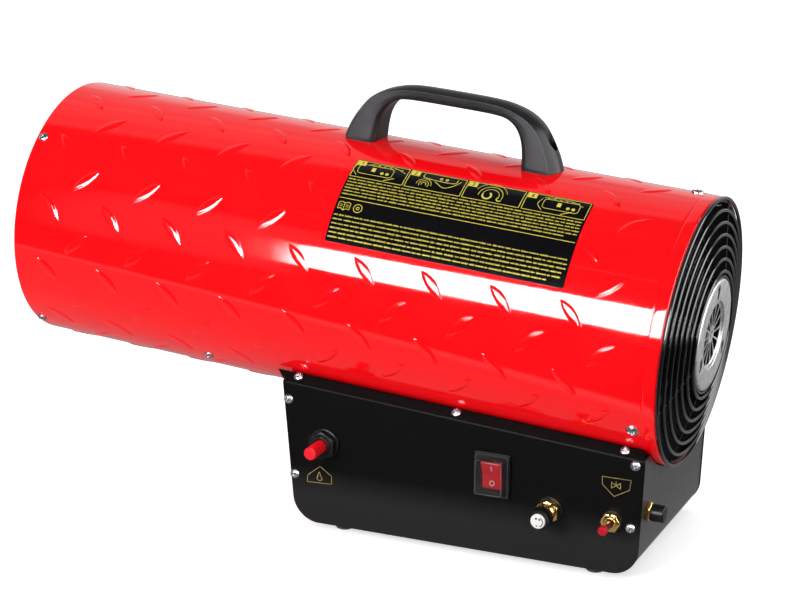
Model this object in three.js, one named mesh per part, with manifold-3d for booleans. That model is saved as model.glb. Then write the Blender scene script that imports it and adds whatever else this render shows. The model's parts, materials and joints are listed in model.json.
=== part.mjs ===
// A portable gas heater with a fan: a ribbed steel tube, raised at its hot end,
// on a folded sheet base that holds the switch, the igniter and the gas valves.
// Millimetres, +Z up. +X is the end where the fan draws air in, -X is the hot end,
// and the controls face -Y. The origin is under the middle of the whole heater,
// on the surface that its feet stand on.
import * as THREE from 'three';
import { mergeVertices } from 'three/addons/utils/BufferGeometryUtils.js';
import Module from 'manifold-3d';

const wasm = await Module();
wasm.setup();

// ---------------------------------------------------------------- driving sizes
const CLEARANCE = 0.3;             // gap left between pieces that touch
const SHEET = 1.2;                 // thickness of the painted steel sheet

const TUBE_LENGTH = 571;
const TUBE_RADIUS = 110;
const TUBE_TILT = THREE.MathUtils.degToRad(4.5);
const AXIS_HEIGHT = 203.3;         // tube axis over the base's underside, at mid length
const HEM_DEPTH = 4;               // rolled-in edge at both ends of the tube

const SHIELD_RADIUS = 88;
const SHIELD_SHEET = 0.8;
const SHIELD_START = 18;           // from the hot end of the tube
const SHIELD_END = 300;
const BURNER_PLATE_AT = 296;
const PLATE_BORE = 21.8;
const PROBE_OFFSET = 47;           // electrode above and thermocouple below the burner's axis

const BASE_LEFT = -31.5;           // where the side walls would meet the underside
const BASE_RIGHT = 267.5;
const BASE_HALF_DEPTH = 87.5;
const BASE_CORNER = 21;
const LEFT_LEAN = THREE.MathUtils.degToRad(5.3);
const RIGHT_LEAN = THREE.MathUtils.degToRad(2.2);
const BEND_HEIGHT = 120;           // top fold of the panels, under the tube's middle
const FLANGE_LENGTH = 10.4;
const FLANGE_RISE = THREE.MathUtils.degToRad(35);
const FLANGE_FLARE = 10;           // how far the fold's free edge runs out at the left
const LIP = 12;

const FOOT_HEIGHT = 5.5;
const FOOT_RADIUS = 8;
const FOOT_PLACES_X = [8, 229];
const FOOT_PLACE_Y = 74;

const HANDLE_MIDDLE = 62.5;        // along the tube from its middle
const HANDLE_HALF_LENGTH = 95.5;
const HANDLE_HEIGHT = 50.3;
const HANDLE_WIDTH = 34;           // at its feet
const GRIP_WIDTH = 25.5;           // at its top
const OPENING_HALF_LENGTH = 61.5;
const OPENING_HEIGHT = 37.5;
const HANDLE_BEVEL = 3;
const HANDLE_SCREW_OFFSET = 83;
const RECESS_FLOOR = 11;

const RING_COUNT = 7;
const RING_RADIUS = 109;           // the outermost ring
const RING_PITCH = 9.55;
const RING_DOME_STEP = 1.67;       // each ring stands this much prouder than the last
const RING_SIDES = 36;             // straight stretches in the outermost ring, fewer inward
const WIRE_RADIUS = 1.5;
const SPOKE_COUNT = 8;
const TAB_DEGREES = [97.7, 227.7, 327.7];
const DISC_RADIUS = 46;
const DISC_FRONT = 13;             // beyond the tube's inlet end
const RECESS_RADIUS = 27;
const RECESS_DEPTH = 2.4;
const VENT_COUNT = 14;
const KEYHOLE_DEGREES = [85, 212, 331];
const KEYHOLE_RADIUS = 36;

const MOTOR_RADIUS = 43;
const MOTOR_BACK = -52;            // beyond the inlet end, so inside the tube
const SHAFT_RADIUS = 4;
const BLADE_COUNT = 5;
const BLADE_TIP = 98;
const BLADE_PITCH = THREE.MathUtils.degToRad(32);

const IGNITER_PLACE = [-4.1, 71.8];      // x and height of each control on the front
const SWITCH_PLACE = [144.5, 67.4];
const REGULATOR_PLACE = [194, 45.5];
const VALVE_PLACE = [246.3, 44.7];
const INLET_PLACE = [-68, 49];           // y and height on the right wall
const GLAND_PLACE = [40, 40];            // y and height on the left wall
const PANEL_SCREWS = [[-37.3, 105.6], [-31.7, 40.7], [263.4, 92.9], [261, 40.4]];

const LABEL_START = -2;            // along the tube from its middle
const LABEL_LENGTH = 203;
const LABEL_LOW = 24.3;            // degrees above the tube's front line
const LABEL_HIGH = 66.2;

// ---------------------------------------------------------------- finishes
const FINISHES = {
  redPaint: { color: 0xd80f16, roughness: 0.22, metalness: 0.1 },
  blackPaint: { color: 0x151515, roughness: 0.45, metalness: 0.1 },
  blackPlastic: { color: 0x1b1b1c, roughness: 0.5, metalness: 0 },
  blackWire: { color: 0x1a1a1b, roughness: 0.35, metalness: 0.2 },
  galvanised: { color: 0xb9bcbd, roughness: 0.4, metalness: 0.85 },
  steel: { color: 0xa9abad, roughness: 0.3, metalness: 1 },
  castMetal: { color: 0x7d8083, roughness: 0.55, metalness: 0.8 },
  brass: { color: 0xb98a3a, roughness: 0.3, metalness: 1 },
  copper: { color: 0xb56a45, roughness: 0.35, metalness: 1 },
  redPlastic: { color: 0xc4141a, roughness: 0.35, metalness: 0 },
  whitePlastic: { color: 0xe6e6e2, roughness: 0.45, metalness: 0 },
  clearPlastic: { color: 0xdfe5e8, roughness: 0.1, metalness: 0 },
  ceramic: { color: 0xeeeae0, roughness: 0.5, metalness: 0 },
  rubber: { color: 0x111111, roughness: 0.85, metalness: 0 },
  label: { color: 0x161512, roughness: 0.35, metalness: 0 },
  cable: { color: 0x222222, roughness: 0.6, metalness: 0 },
};

// ---------------------------------------------------------------- groups
const heater = new THREE.Group();
const base = new THREE.Group();
const tube = new THREE.Group();
heater.add(base, tube);
tube.position.set(0, 0, AXIS_HEIGHT);
tube.rotation.y = TUBE_TILT;
tube.updateMatrix();

const HALF = TUBE_LENGTH / 2;
const OUTWARD_FRONT = new THREE.Euler(0, 0, -Math.PI / 2);   // local +X looks along -Y
const OUTWARD_LEFT = new THREE.Euler(0, -LEFT_LEAN, Math.PI); // +X looks out of the left wall
const OUTWARD_RIGHT = new THREE.Euler(0, RIGHT_LEAN, 0);      // +X looks out of the right wall

function addMesh(parent, name, geometry, finish) {
  const mesh = new THREE.Mesh(geometry, new THREE.MeshStandardMaterial(FINISHES[finish]));
  mesh.name = name;
  parent.add(mesh);
  return mesh;
}

function addGroup(parent, x, y, z, rotation) {
  const group = new THREE.Group();
  group.position.set(x, y, z);
  if (rotation) group.rotation.copy(rotation);
  parent.add(group);
  return group;
}

// ---------------------------------------------------------------- solids
function solidOf(geometry) {
  const bare = geometry.clone();
  bare.deleteAttribute('normal');
  bare.deleteAttribute('uv');
  const merged = mergeVertices(bare, 1e-4);
  const corners = merged.index.array;
  const kept = [];
  for (let i = 0; i < corners.length; i += 3) {
    const [a, b, c] = corners.slice(i, i + 3);
    if (a !== b && b !== c && c !== a) kept.push(a, b, c);
  }
  return new wasm.Manifold(new wasm.Mesh({
    numProp: 3,
    vertProperties: new Float32Array(merged.attributes.position.array),
    triVerts: new Uint32Array(kept),
  }));
}

function geometryOf(solid) {
  const mesh = solid.getMesh();
  const geometry = new THREE.BufferGeometry();
  geometry.setAttribute('position', new THREE.BufferAttribute(new Float32Array(mesh.vertProperties), 3));
  geometry.setIndex(new THREE.BufferAttribute(new Uint32Array(mesh.triVerts), 1));
  geometry.computeVertexNormals();
  return geometry;
}

function join(geometries) {
  const solids = geometries.map(solidOf);
  return geometryOf(solids.reduce((whole, next) => whole.add(next)));
}

// The same shape on the other side of the plane Y = 0, with its faces still outward.
function mirrored(geometry) {
  const copy = geometry.clone().scale(1, -1, 1);
  const corners = copy.index.array;
  for (let i = 0; i < corners.length; i += 3) [corners[i], corners[i + 1]] = [corners[i + 1], corners[i]];
  return copy;
}

function cut(geometry, cutters) {
  const solid = cutters.map(solidOf).reduce((left, next) => left.subtract(next), solidOf(geometry));
  return geometryOf(solid);
}

// A solid turned about X. The profile is [along X, radius] points, outer side first.
function revolve(profile, segments = 32) {
  const points = profile.map(([along, radius]) => new THREE.Vector2(radius, along));
  return new THREE.LatheGeometry(points, segments).rotateZ(-Math.PI / 2);
}

// The same for a ring, whose profile closes on itself.
function revolveRing(profile, segments = 32) {
  return revolve([...profile, profile[0]], segments);
}

function rod(start, end, radius, segments = 20) {
  return revolve([[start, 0], [start, radius], [end, radius], [end, 0]], segments);
}

function washer(start, end, outer, inner, segments = 24) {
  return revolveRing([[start, outer], [end, outer], [end, inner], [start, inner]], segments);
}

// A shape drawn in Y and Z, thick along +X from the given place.
const ALONG_X = new THREE.Matrix4().makeBasis(
  new THREE.Vector3(0, 1, 0), new THREE.Vector3(0, 0, 1), new THREE.Vector3(1, 0, 0));
function plateAlongX(shape, start, thickness, curveSegments = 6) {
  const geometry = new THREE.ExtrudeGeometry(shape, { depth: thickness, bevelEnabled: false, curveSegments });
  return geometry.applyMatrix4(ALONG_X).translate(start, 0, 0);
}

// A shape drawn in X and Z, thick along -Y from the given place.
const ALONG_MINUS_Y = new THREE.Matrix4().makeBasis(
  new THREE.Vector3(1, 0, 0), new THREE.Vector3(0, 0, 1), new THREE.Vector3(0, -1, 0));
function plateAlongY(shape, start, thickness, options = {}) {
  const settings = { depth: thickness, bevelEnabled: false, curveSegments: 4, ...options };
  return new THREE.ExtrudeGeometry(shape, settings).applyMatrix4(ALONG_MINUS_Y).translate(0, start, 0);
}

function roundHole(x, y, radius) {
  return new THREE.Path().absarc(x, y, radius, 0, 2 * Math.PI, true);
}

// A polygon, anticlockwise, whose corners are [x, y, rounding radius].
function roundedShape(corners) {
  const shape = new THREE.Shape();
  corners.forEach(([x, y, radius], index) => {
    const [px, py] = corners.at(index - 1);
    const [nx, ny] = corners[(index + 1) % corners.length];
    const corner = new THREE.Vector2(x, y);
    const back = new THREE.Vector2(px, py).sub(corner).normalize();
    const ahead = new THREE.Vector2(nx, ny).sub(corner).normalize();
    if (!radius) {
      if (index) shape.lineTo(x, y);
      else shape.moveTo(x, y);
      return;
    }
    const half = Math.acos(back.dot(ahead)) / 2;
    const centre = back.clone().add(ahead).normalize().multiplyScalar(radius / Math.sin(half)).add(corner);
    const start = back.multiplyScalar(radius / Math.tan(half)).add(corner).sub(centre);
    const end = ahead.multiplyScalar(radius / Math.tan(half)).add(corner).sub(centre);
    shape.absarc(centre.x, centre.y, radius, start.angle(), end.angle(), false);
  });
  return shape;
}

function rectangle(width, height, radius = 0) {
  const [w, h] = [width / 2, height / 2];
  return roundedShape([[-w, -h, radius], [w, -h, radius], [w, h, radius], [-w, h, radius]]);
}

function hexRing(acrossFlats, bore, start, thickness) {
  const reach = acrossFlats / Math.sqrt(3);
  const corners = [0, 1, 2, 3, 4, 5].map((side) => {
    const angle = side * Math.PI / 3;
    return [reach * Math.cos(angle), reach * Math.sin(angle), 0];
  });
  const shape = roundedShape(corners);
  if (bore) shape.holes.push(roundHole(0, 0, bore));
  return plateAlongX(shape, start, thickness);
}

// A round pipe or lead along a smooth curve through the given points.
function sweep(points, radius, steps, sides = 6) {
  const corners = Array.from({ length: sides }, (_, side) => {
    const angle = side * 2 * Math.PI / sides;
    return new THREE.Vector2(radius * Math.cos(angle), radius * Math.sin(angle));
  });
  const section = new THREE.Shape(corners);
  const path = new THREE.CatmullRomCurve3(points, false, 'centripetal');
  return new THREE.ExtrudeGeometry(section, { steps, extrudePath: path });
}

const vector = (x, y, z) => new THREE.Vector3(x, y, z);
const inTube = (x, y, z) => vector(x, y, z).applyMatrix4(tube.matrix);

// Direction around the tube, in degrees up from its front line.
function around(degrees, radius) {
  const angle = THREE.MathUtils.degToRad(degrees);
  return [-radius * Math.cos(angle), radius * Math.sin(angle)];
}

// ---------------------------------------------------------------- tube and burner
const LEAD_HOLE = 45;              // along the tube, where pipe and leads come up
const MOTOR_LEAD_HOLE = 250;

function buildShell() {
  const inner = TUBE_RADIUS - SHEET;
  const hem = TUBE_RADIUS - HEM_DEPTH;
  const wall = revolveRing([
    [-HALF, TUBE_RADIUS], [HALF, TUBE_RADIUS], [HALF, hem], [HALF - SHEET, hem],
    [HALF - SHEET, inner], [-HALF + SHEET, inner], [-HALF + SHEET, hem], [-HALF, hem],
  ], 56);
  const hole = (along, radius) => rod(-20, 20, radius, 16).rotateY(Math.PI / 2)
    .translate(along, 0, -TUBE_RADIUS);
  addMesh(tube, 'outer_shell', cut(wall, [hole(LEAD_HOLE, 15), hole(MOTOR_LEAD_HOLE, 5)]), 'redPaint');
}

function buildShield() {
  const start = -HALF + SHIELD_START;
  const end = -HALF + SHIELD_END;
  const sleeve = washer(start, end, SHIELD_RADIUS, SHIELD_RADIUS - SHIELD_SHEET, 36);
  addMesh(tube, 'heat_shield', sleeve, 'galvanised');

  const foot = 10;
  const low = SHIELD_RADIUS + 2 * CLEARANCE;
  const high = TUBE_RADIUS - SHEET - 2 * CLEARANCE;
  const strip = roundedShape([
    [-foot, low, 0], [SHEET, low, 0], [SHEET, high - SHEET, 0], [foot, high - SHEET, 0],
    [foot, high, 0], [0, high, 0], [0, low + SHEET, 0], [-foot, low + SHEET, 0],
  ]);
  [90, 210, 330].forEach((degrees, index) => {
    const spacer = addMesh(tube, `shield_spacer_${index + 1}`,
      plateAlongY(strip, 6, 12), 'galvanised');
    spacer.position.x = start + 40;
    spacer.rotation.x = THREE.MathUtils.degToRad(90 - degrees);
  });
}

function buildBurner() {
  const plateAt = -HALF + BURNER_PLATE_AT;
  const disc = washer(plateAt, plateAt + SHEET, SHIELD_RADIUS - SHIELD_SHEET - 2 * CLEARANCE, PLATE_BORE, 28);
  const hole = (y, z, radius, sides) => rod(plateAt - 5, plateAt + 5, radius, sides).translate(0, y, z);
  const holes = [hole(0, PROBE_OFFSET, 4.2, 8), hole(0, -PROBE_OFFSET, 3.4, 8)];
  for (let i = 0; i < 8; i += 1) holes.push(hole(...around(22.5 + 45 * i, 62), 11, 9));
  addMesh(tube, 'burner_plate', cut(disc, holes), 'galvanised');

  const throat = PLATE_BORE - CLEARANCE;
  const cup = revolveRing([
    [plateAt - 38, 42], [plateAt - 12, throat], [plateAt + 6, throat],
    [plateAt + 6, throat - 1.5], [plateAt - 12, throat - 1.5], [plateAt - 38, 40.3],
  ], 28);
  addMesh(tube, 'burner_head', cup, 'steel');

  const nozzle = revolve([
    [plateAt - 4, 0], [plateAt - 4, 3], [plateAt + 2, 5], [plateAt + 10, 5], [plateAt + 10, 8],
    [plateAt + 24, 8], [plateAt + 24, 6], [plateAt + 29, 6], [plateAt + 29, 0],
  ], 20);
  addMesh(tube, 'gas_nozzle', nozzle, 'brass');

  const electrode = revolve([
    [-45, 0], [-45, 1.2], [-18, 1.2], [-18, 3.5], [24, 3.5], [24, 2], [29, 2], [29, 0],
  ], 14);
  addMesh(tube, 'ignition_electrode', electrode.translate(plateAt, 0, PROBE_OFFSET), 'ceramic');
  return plateAt + 29 + CLEARANCE;
}

// ---------------------------------------------------------------- motor and fan
function buildMotor() {
  const front = HALF + DISC_FRONT;
  const floor = front - RECESS_DEPTH;
  const cap = revolveRing([
    [HALF + 3, DISC_RADIUS], [front - 1.5, DISC_RADIUS], [front, DISC_RADIUS - 1.5],
    [front, RECESS_RADIUS + 0.8], [floor, RECESS_RADIUS], [floor, 3.5],
    [floor - SHEET, 3.5], [floor - SHEET, RECESS_RADIUS], [front - SHEET, RECESS_RADIUS + 0.8],
    [front - SHEET, DISC_RADIUS - SHEET], [HALF + 3, DISC_RADIUS - SHEET],
  ], 28);
  const vents = [];
  for (let i = 0; i < VENT_COUNT; i += 1) {
    const wedge = roundedShape([[-1.2, 7.5, 0], [1.2, 7.5, 0], [3.8, 24.5, 0], [-3.8, 24.5, 0]]);
    vents.push(plateAlongX(wedge, floor - 5, 10).rotateX(i * 2 * Math.PI / VENT_COUNT));
  }
  for (const degrees of KEYHOLE_DEGREES) {
    const [y, z] = around(degrees, KEYHOLE_RADIUS);
    vents.push(plateAlongX(rectangle(5.2, 12, 2.5), front - 5, 10, 2).translate(0, y, z));
  }
  addMesh(tube, 'motor_plate', cut(cap, vents), 'galvanised');

  const back = HALF + MOTOR_BACK;
  const bearing = 8;
  const housing = revolveRing([
    [back, MOTOR_RADIUS - 6], [back + 6, MOTOR_RADIUS], [HALF + 6, MOTOR_RADIUS],
    [HALF + 6, MOTOR_RADIUS - 1.5], [back + 7, MOTOR_RADIUS - 1.5], [back + 2, MOTOR_RADIUS - 7],
    [back + 2, 12], [back + 8, 12], [back + 8, bearing + CLEARANCE], [back, bearing + CLEARANCE],
  ], 24);
  addMesh(tube, 'motor_housing', housing, 'castMetal');
  addMesh(tube, 'stator_pack', washer(HALF - 40, HALF - 8, MOTOR_RADIUS - 2.3, 24), 'castMetal');
  addMesh(tube, 'bearing_front', washer(back + 1, back + 8, bearing, SHAFT_RADIUS + CLEARANCE, 20), 'steel');
  addMesh(tube, 'bearing_rear', washer(floor - SHEET - 7.3, floor - SHEET - CLEARANCE, bearing,
    SHAFT_RADIUS + CLEARANCE, 20), 'steel');
  addMesh(tube, 'motor_shaft', rod(back - 36, floor - SHEET - 1, SHAFT_RADIUS, 16), 'steel');
  addMesh(tube, 'rotor_core', washer(HALF - 40, HALF - 8, 23.4, SHAFT_RADIUS + CLEARANCE, 24), 'castMetal');

  const fanAt = back - 18;
  const blade = roundedShape([
    [-13, 10, 0], [13, 10, 0], [29, 78, 12], [14, BLADE_TIP, 10], [-24, BLADE_TIP - 4, 16],
  ]);
  const blades = [];
  for (let i = 0; i < BLADE_COUNT; i += 1) {
    const flat = new THREE.ExtrudeGeometry(blade, { depth: 1.6, bevelEnabled: false, curveSegments: 3 });
    flat.translate(0, 0, -0.8).rotateX(Math.PI / 2).rotateZ(Math.PI / 2 - BLADE_PITCH);
    blades.push(flat.rotateX(i * 2 * Math.PI / BLADE_COUNT).translate(fanAt, 0, 0));
  }
  const hub = rod(fanAt - 9, fanAt + 9, 16, 16);
  const bore = rod(fanAt - 20, fanAt + 20, SHAFT_RADIUS + CLEARANCE, 12);
  addMesh(tube, 'fan_impeller', cut(join([hub, ...blades]), [bore]), 'castMetal');
  addMesh(tube, 'fan_nut', hexRing(13, SHAFT_RADIUS + CLEARANCE, fanAt - 16, 16 - 9 - CLEARANCE), 'steel');
}

function buildGuard() {
  const pieces = [];
  const ringAt = (index) => HALF + CLEARANCE + WIRE_RADIUS + index * RING_DOME_STEP;
  const ringRadius = (index) => RING_RADIUS - index * RING_PITCH;
  for (let i = 0; i < RING_COUNT; i += 1) {
    const torus = new THREE.TorusGeometry(ringRadius(i), WIRE_RADIUS, 4, RING_SIDES - 2 * i);
    pieces.push(torus.rotateY(Math.PI / 2).translate(ringAt(i), 0, 0));
  }
  const last = RING_COUNT - 1;
  const lean = Math.atan2(RING_DOME_STEP, RING_PITCH);
  const reach = ringRadius(0) - (DISC_RADIUS + 3 * CLEARANCE + 0.8);
  for (let i = 0; i < SPOKE_COUNT; i += 1) {
    const spoke = rod(0, reach / Math.cos(lean), 1, 4).rotateY(Math.PI / 2 - lean);
    spoke.translate(ringAt(0) - 0.3, 0, ringRadius(0));
    pieces.push(spoke.rotateX((i + 0.5) * 2 * Math.PI / SPOKE_COUNT));
  }
  const collar = DISC_RADIUS + 3 * CLEARANCE;
  pieces.push(washer(ringAt(last) - 5, ringAt(last) + 0.5, collar + 1.8, collar));
  for (const degrees of TAB_DEGREES) {
    const tab = new THREE.BoxGeometry(28, 12, SHEET);
    tab.translate(ringAt(0) - 13.5, 0, TUBE_RADIUS - HEM_DEPTH - 2.2);
    const post = new THREE.BoxGeometry(SHEET, 12, 5);
    post.translate(ringAt(0), 0, TUBE_RADIUS - HEM_DEPTH);
    const turn = THREE.MathUtils.degToRad(90 - degrees);
    pieces.push(tab.rotateX(turn), post.rotateX(turn));
  }
  addMesh(tube, 'fan_guard', join(pieces), 'blackWire');
}

// ---------------------------------------------------------------- label and handle
function buildLabel() {
  const low = Math.PI - THREE.MathUtils.degToRad(LABEL_LOW);
  const high = Math.PI - THREE.MathUtils.degToRad(LABEL_HIGH);
  const inner = TUBE_RADIUS + CLEARANCE;
  const shape = new THREE.Shape();
  shape.absarc(0, 0, inner + 0.3, high, low, false);
  shape.absarc(0, 0, inner, low, high, true);
  addMesh(tube, 'instruction_label', plateAlongX(shape, LABEL_START, LABEL_LENGTH, 10), 'label');
}

function buildHandle() {
  const reach = HANDLE_HALF_LENGTH - HANDLE_BEVEL;
  const top = HANDLE_HEIGHT - HANDLE_BEVEL;
  const hollow = OPENING_HALF_LENGTH + HANDLE_BEVEL;
  const ceiling = OPENING_HEIGHT + HANDLE_BEVEL;
  const shape = new THREE.Shape();
  shape.moveTo(-reach, -12);
  shape.lineTo(-hollow, -12);
  shape.lineTo(-hollow, 0);
  shape.bezierCurveTo(-hollow + 1, 22, -hollow + 8, ceiling, -hollow + 29, ceiling);
  shape.lineTo(hollow - 29, ceiling);
  shape.bezierCurveTo(hollow - 8, ceiling, hollow - 1, 22, hollow, 0);
  shape.lineTo(hollow, -12);
  shape.lineTo(reach, -12);
  shape.lineTo(reach, 0);
  shape.bezierCurveTo(reach - 9, 30, reach - 22, top, reach - 54, top);
  shape.lineTo(-reach + 54, top);
  shape.bezierCurveTo(-reach + 22, top, -reach + 9, 30, -reach, 0);
  const settings = {
    bevelEnabled: true, bevelThickness: HANDLE_BEVEL, bevelSize: HANDLE_BEVEL, bevelSegments: 2,
    curveSegments: 7,
  };
  const half = HANDLE_WIDTH / 2 - HANDLE_BEVEL;
  const arch = plateAlongY(shape, half, 2 * half, settings);
  const points = arch.attributes.position;
  for (let i = 0; i < points.count; i += 1) {
    const share = points.getZ(i) / HANDLE_HEIGHT;
    points.setY(i, points.getY(i) * (1 + share * (GRIP_WIDTH / HANDLE_WIDTH - 1)));
  }
  arch.translate(HANDLE_MIDDLE, 0, TUBE_RADIUS);

  const upright = (radius, low, high, along) => rod(low, high, radius, 16).rotateY(-Math.PI / 2)
    .translate(along, 0, TUBE_RADIUS);
  const cutters = [rod(-200, 300, TUBE_RADIUS + CLEARANCE, 96)];
  for (const side of [-1, 1]) {
    const along = HANDLE_MIDDLE + side * HANDLE_SCREW_OFFSET;
    cutters.push(upright(5, RECESS_FLOOR, 80, along), upright(2.4, -5, 30, along));
  }
  addMesh(tube, 'handle', cut(arch, cutters), 'blackPlastic');

  [-1, 1].forEach((side, index) => {
    const screw = revolve([
      [1, 0], [1, 1.9], [RECESS_FLOOR + CLEARANCE, 1.9], [RECESS_FLOOR + CLEARANCE, 4],
      [RECESS_FLOOR + 2, 3.6], [RECESS_FLOOR + 2.8, 2], [RECESS_FLOOR + 2.8, 0],
    ], 14).rotateY(-Math.PI / 2);
    const mesh = addMesh(tube, `handle_screw_${index + 1}`, screw, 'steel');
    mesh.position.set(HANDLE_MIDDLE + side * HANDLE_SCREW_OFFSET, 0, TUBE_RADIUS);
  });
}

// ---------------------------------------------------------------- base
const bendAt = (x) => BEND_HEIGHT - Math.tan(TUBE_TILT) * x;
const leftAt = (z) => BASE_LEFT - Math.tan(LEFT_LEAN) * z;
const rightAt = (z) => BASE_RIGHT + Math.tan(RIGHT_LEAN) * z;

// The base seen from the front, drawn in by the given inset, closed along its top.
function baseOutline(inset, above = 0, topCorner = 0) {
  const left = (z) => leftAt(z) + inset / Math.cos(LEFT_LEAN);
  const right = (z) => rightAt(z) - inset / Math.cos(RIGHT_LEAN);
  const highLeft = bendAt(leftAt(BEND_HEIGHT)) + above;
  const highRight = bendAt(BASE_RIGHT) + above;
  return roundedShape([
    [left(inset), inset, BASE_CORNER - Math.min(inset, 12)],
    [right(inset), inset, BASE_CORNER - Math.min(inset, 12)],
    [right(highRight), highRight, topCorner],
    [left(highLeft), highLeft, 0],
  ]);
}

function tubeClearance() {
  const bore = rod(-HALF - 50, HALF + 50, TUBE_RADIUS + 2 * CLEARANCE, 72);
  return bore.applyMatrix4(tube.matrix);
}

function screwHoles(start, thickness) {
  return PANEL_SCREWS.map(([x, z]) => rod(start, start + thickness, 2.3, 10)
    .rotateZ(Math.PI / 2).translate(x, 0, z));
}

function buildChannel() {
  const depth = 2 * (BASE_HALF_DEPTH - SHEET - CLEARANCE);
  const front = depth / 2;
  const block = plateAlongY(baseOutline(0.6, -1), front, depth);
  const room = plateAlongY(baseOutline(0.6 + SHEET, 40), front - SHEET, depth - 2 * SHEET);
  const opening = plateAlongY(baseOutline(LIP, 40), front + 10, depth + 20);
  const channel = cut(block, [
    room,
    opening,
    tubeClearance(),
    ...screwHoles(-front - 10, depth + 20),
    rod(230, 300, 6.4, 20).translate(0, INLET_PLACE[0], INLET_PLACE[1]),
    rod(-60, -20, 8.4, 20).translate(0, GLAND_PLACE[0], GLAND_PLACE[1]),
  ]);
  addMesh(base, 'base_channel', channel, 'blackPaint');
}

// The fold along the top of a panel, which leans in until it lies against the tube.
function panelFlange() {
  const along = [Math.cos(FLANGE_RISE), Math.sin(FLANGE_RISE)];
  const inward = [Math.sin(FLANGE_RISE) * SHEET, -Math.cos(FLANGE_RISE) * SHEET];
  const strip = new THREE.Shape();
  strip.moveTo(0, 0);
  strip.lineTo(inward[0], inward[1]);
  strip.lineTo(inward[0] + along[0] * FLANGE_LENGTH, inward[1] + along[1] * FLANGE_LENGTH);
  strip.lineTo(along[0] * FLANGE_LENGTH, along[1] * FLANGE_LENGTH);
  const start = leftAt(BEND_HEIGHT) - 1;
  const length = rightAt(BEND_HEIGHT) - 3 - start;
  const fold = plateAlongX(strip, start, length);
  const points = fold.attributes.position;
  for (let i = 0; i < points.count; i += 1) {
    const share = points.getY(i) / (along[0] * FLANGE_LENGTH);
    const spread = points.getX(i) < start + 1 ? -FLANGE_FLARE : -0.4 * FLANGE_FLARE;
    points.setX(i, points.getX(i) + share * spread);
  }
  const flange = fold.translate(0, -BASE_HALF_DEPTH, BEND_HEIGHT);
  return flange.applyMatrix4(new THREE.Matrix4().makeShear(0, -Math.tan(TUBE_TILT), 0, 0, 0, 0));
}

function buildPanels() {
  const outline = baseOutline(0, 0, 5);
  const blank = plateAlongY(outline, -BASE_HALF_DEPTH + SHEET, SHEET);
  const holes = screwHoles(-BASE_HALF_DEPTH - 5, 10);
  const plain = cut(join([blank, panelFlange()]), holes);
  addMesh(base, 'back_panel', mirrored(plain), 'blackPaint');

  const drill = ([x, z], radius) => rod(-5, 5, radius).rotateZ(Math.PI / 2).translate(x, -BASE_HALF_DEPTH, z);
  const [switchX, switchZ] = SWITCH_PLACE;
  const front = cut(plain, [
    new THREE.BoxGeometry(22.8, 10, 30).translate(switchX, -BASE_HALF_DEPTH, switchZ),
    drill(IGNITER_PLACE, 8.8),
    drill(REGULATOR_PLACE, 6.4),
    drill(VALVE_PLACE, 5.4),
  ]);
  addMesh(base, 'front_panel', front, 'blackPaint');
}

function buildFeetAndScrews() {
  let number = 1;
  for (const x of FOOT_PLACES_X) {
    for (const y of [-FOOT_PLACE_Y, FOOT_PLACE_Y]) {
      const foot = revolve([
        [CLEARANCE, 0], [CLEARANCE, FOOT_RADIUS], [FOOT_HEIGHT - 1.5, FOOT_RADIUS],
        [FOOT_HEIGHT, FOOT_RADIUS - 1.5], [FOOT_HEIGHT, 0],
      ], 20).rotateY(Math.PI / 2);
      addMesh(base, `foot_${number}`, foot, 'rubber').position.set(x, y, 0);
      number += 1;
    }
  }
  PANEL_SCREWS.forEach(([x, z], index) => {
    const screw = revolve([
      [-6, 0], [-6, 1.9], [CLEARANCE, 1.9], [CLEARANCE, 4], [1.7, 3.7], [2.5, 2.4], [2.7, 0],
    ], 14);
    const place = addGroup(base, x, -BASE_HALF_DEPTH, z, OUTWARD_FRONT);
    addMesh(place, `panel_screw_${index + 1}`, screw, 'steel');
  });
}

// ---------------------------------------------------------------- controls on the front
// In each control's own group, +X points out of the panel and 0 is the panel's face.
const BEHIND_PANEL = -SHEET - CLEARANCE;

function controlGroup([x, z]) {
  return addGroup(base, x, -BASE_HALF_DEPTH, z, OUTWARD_FRONT);
}

function buildIgniter() {
  const place = controlGroup(IGNITER_PLACE);
  const body = revolve([
    [-42, 0], [-42, 11], [BEHIND_PANEL, 11], [BEHIND_PANEL, 8.4], [9.6, 8.4], [9.6, 6.2], [-14, 6.2], [-14, 0],
  ], 24);
  addMesh(place, 'igniter_body', body, 'blackPlastic');
  const nut = join([washer(CLEARANCE, 2.6, 13, 8.7, 28), hexRing(22, 8.7, 2.4, 6.6)]);
  addMesh(place, 'igniter_nut', nut, 'blackPlastic');
  const button = revolve([[-5, 0], [-5, 5.5], [29.2, 5.5], [30, 4.7], [30, 0]], 24);
  addMesh(place, 'ignition_button', button, 'redPlastic');
}

const ROCKER_PIVOT = -2;
const ROCKER_TILT = THREE.MathUtils.degToRad(10);

// A box that tapers to another size at its front.
function frustum(width, height, frontWidth, frontHeight, start, end) {
  const box = new THREE.BoxGeometry(end - start, width, height).translate((start + end) / 2, 0, 0);
  const points = box.attributes.position;
  for (let i = 0; i < points.count; i += 1) {
    if (points.getX(i) > start + 0.01) {
      points.setY(i, Math.sign(points.getY(i)) * frontWidth / 2);
      points.setZ(i, Math.sign(points.getZ(i)) * frontHeight / 2);
    }
  }
  return box;
}

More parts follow.
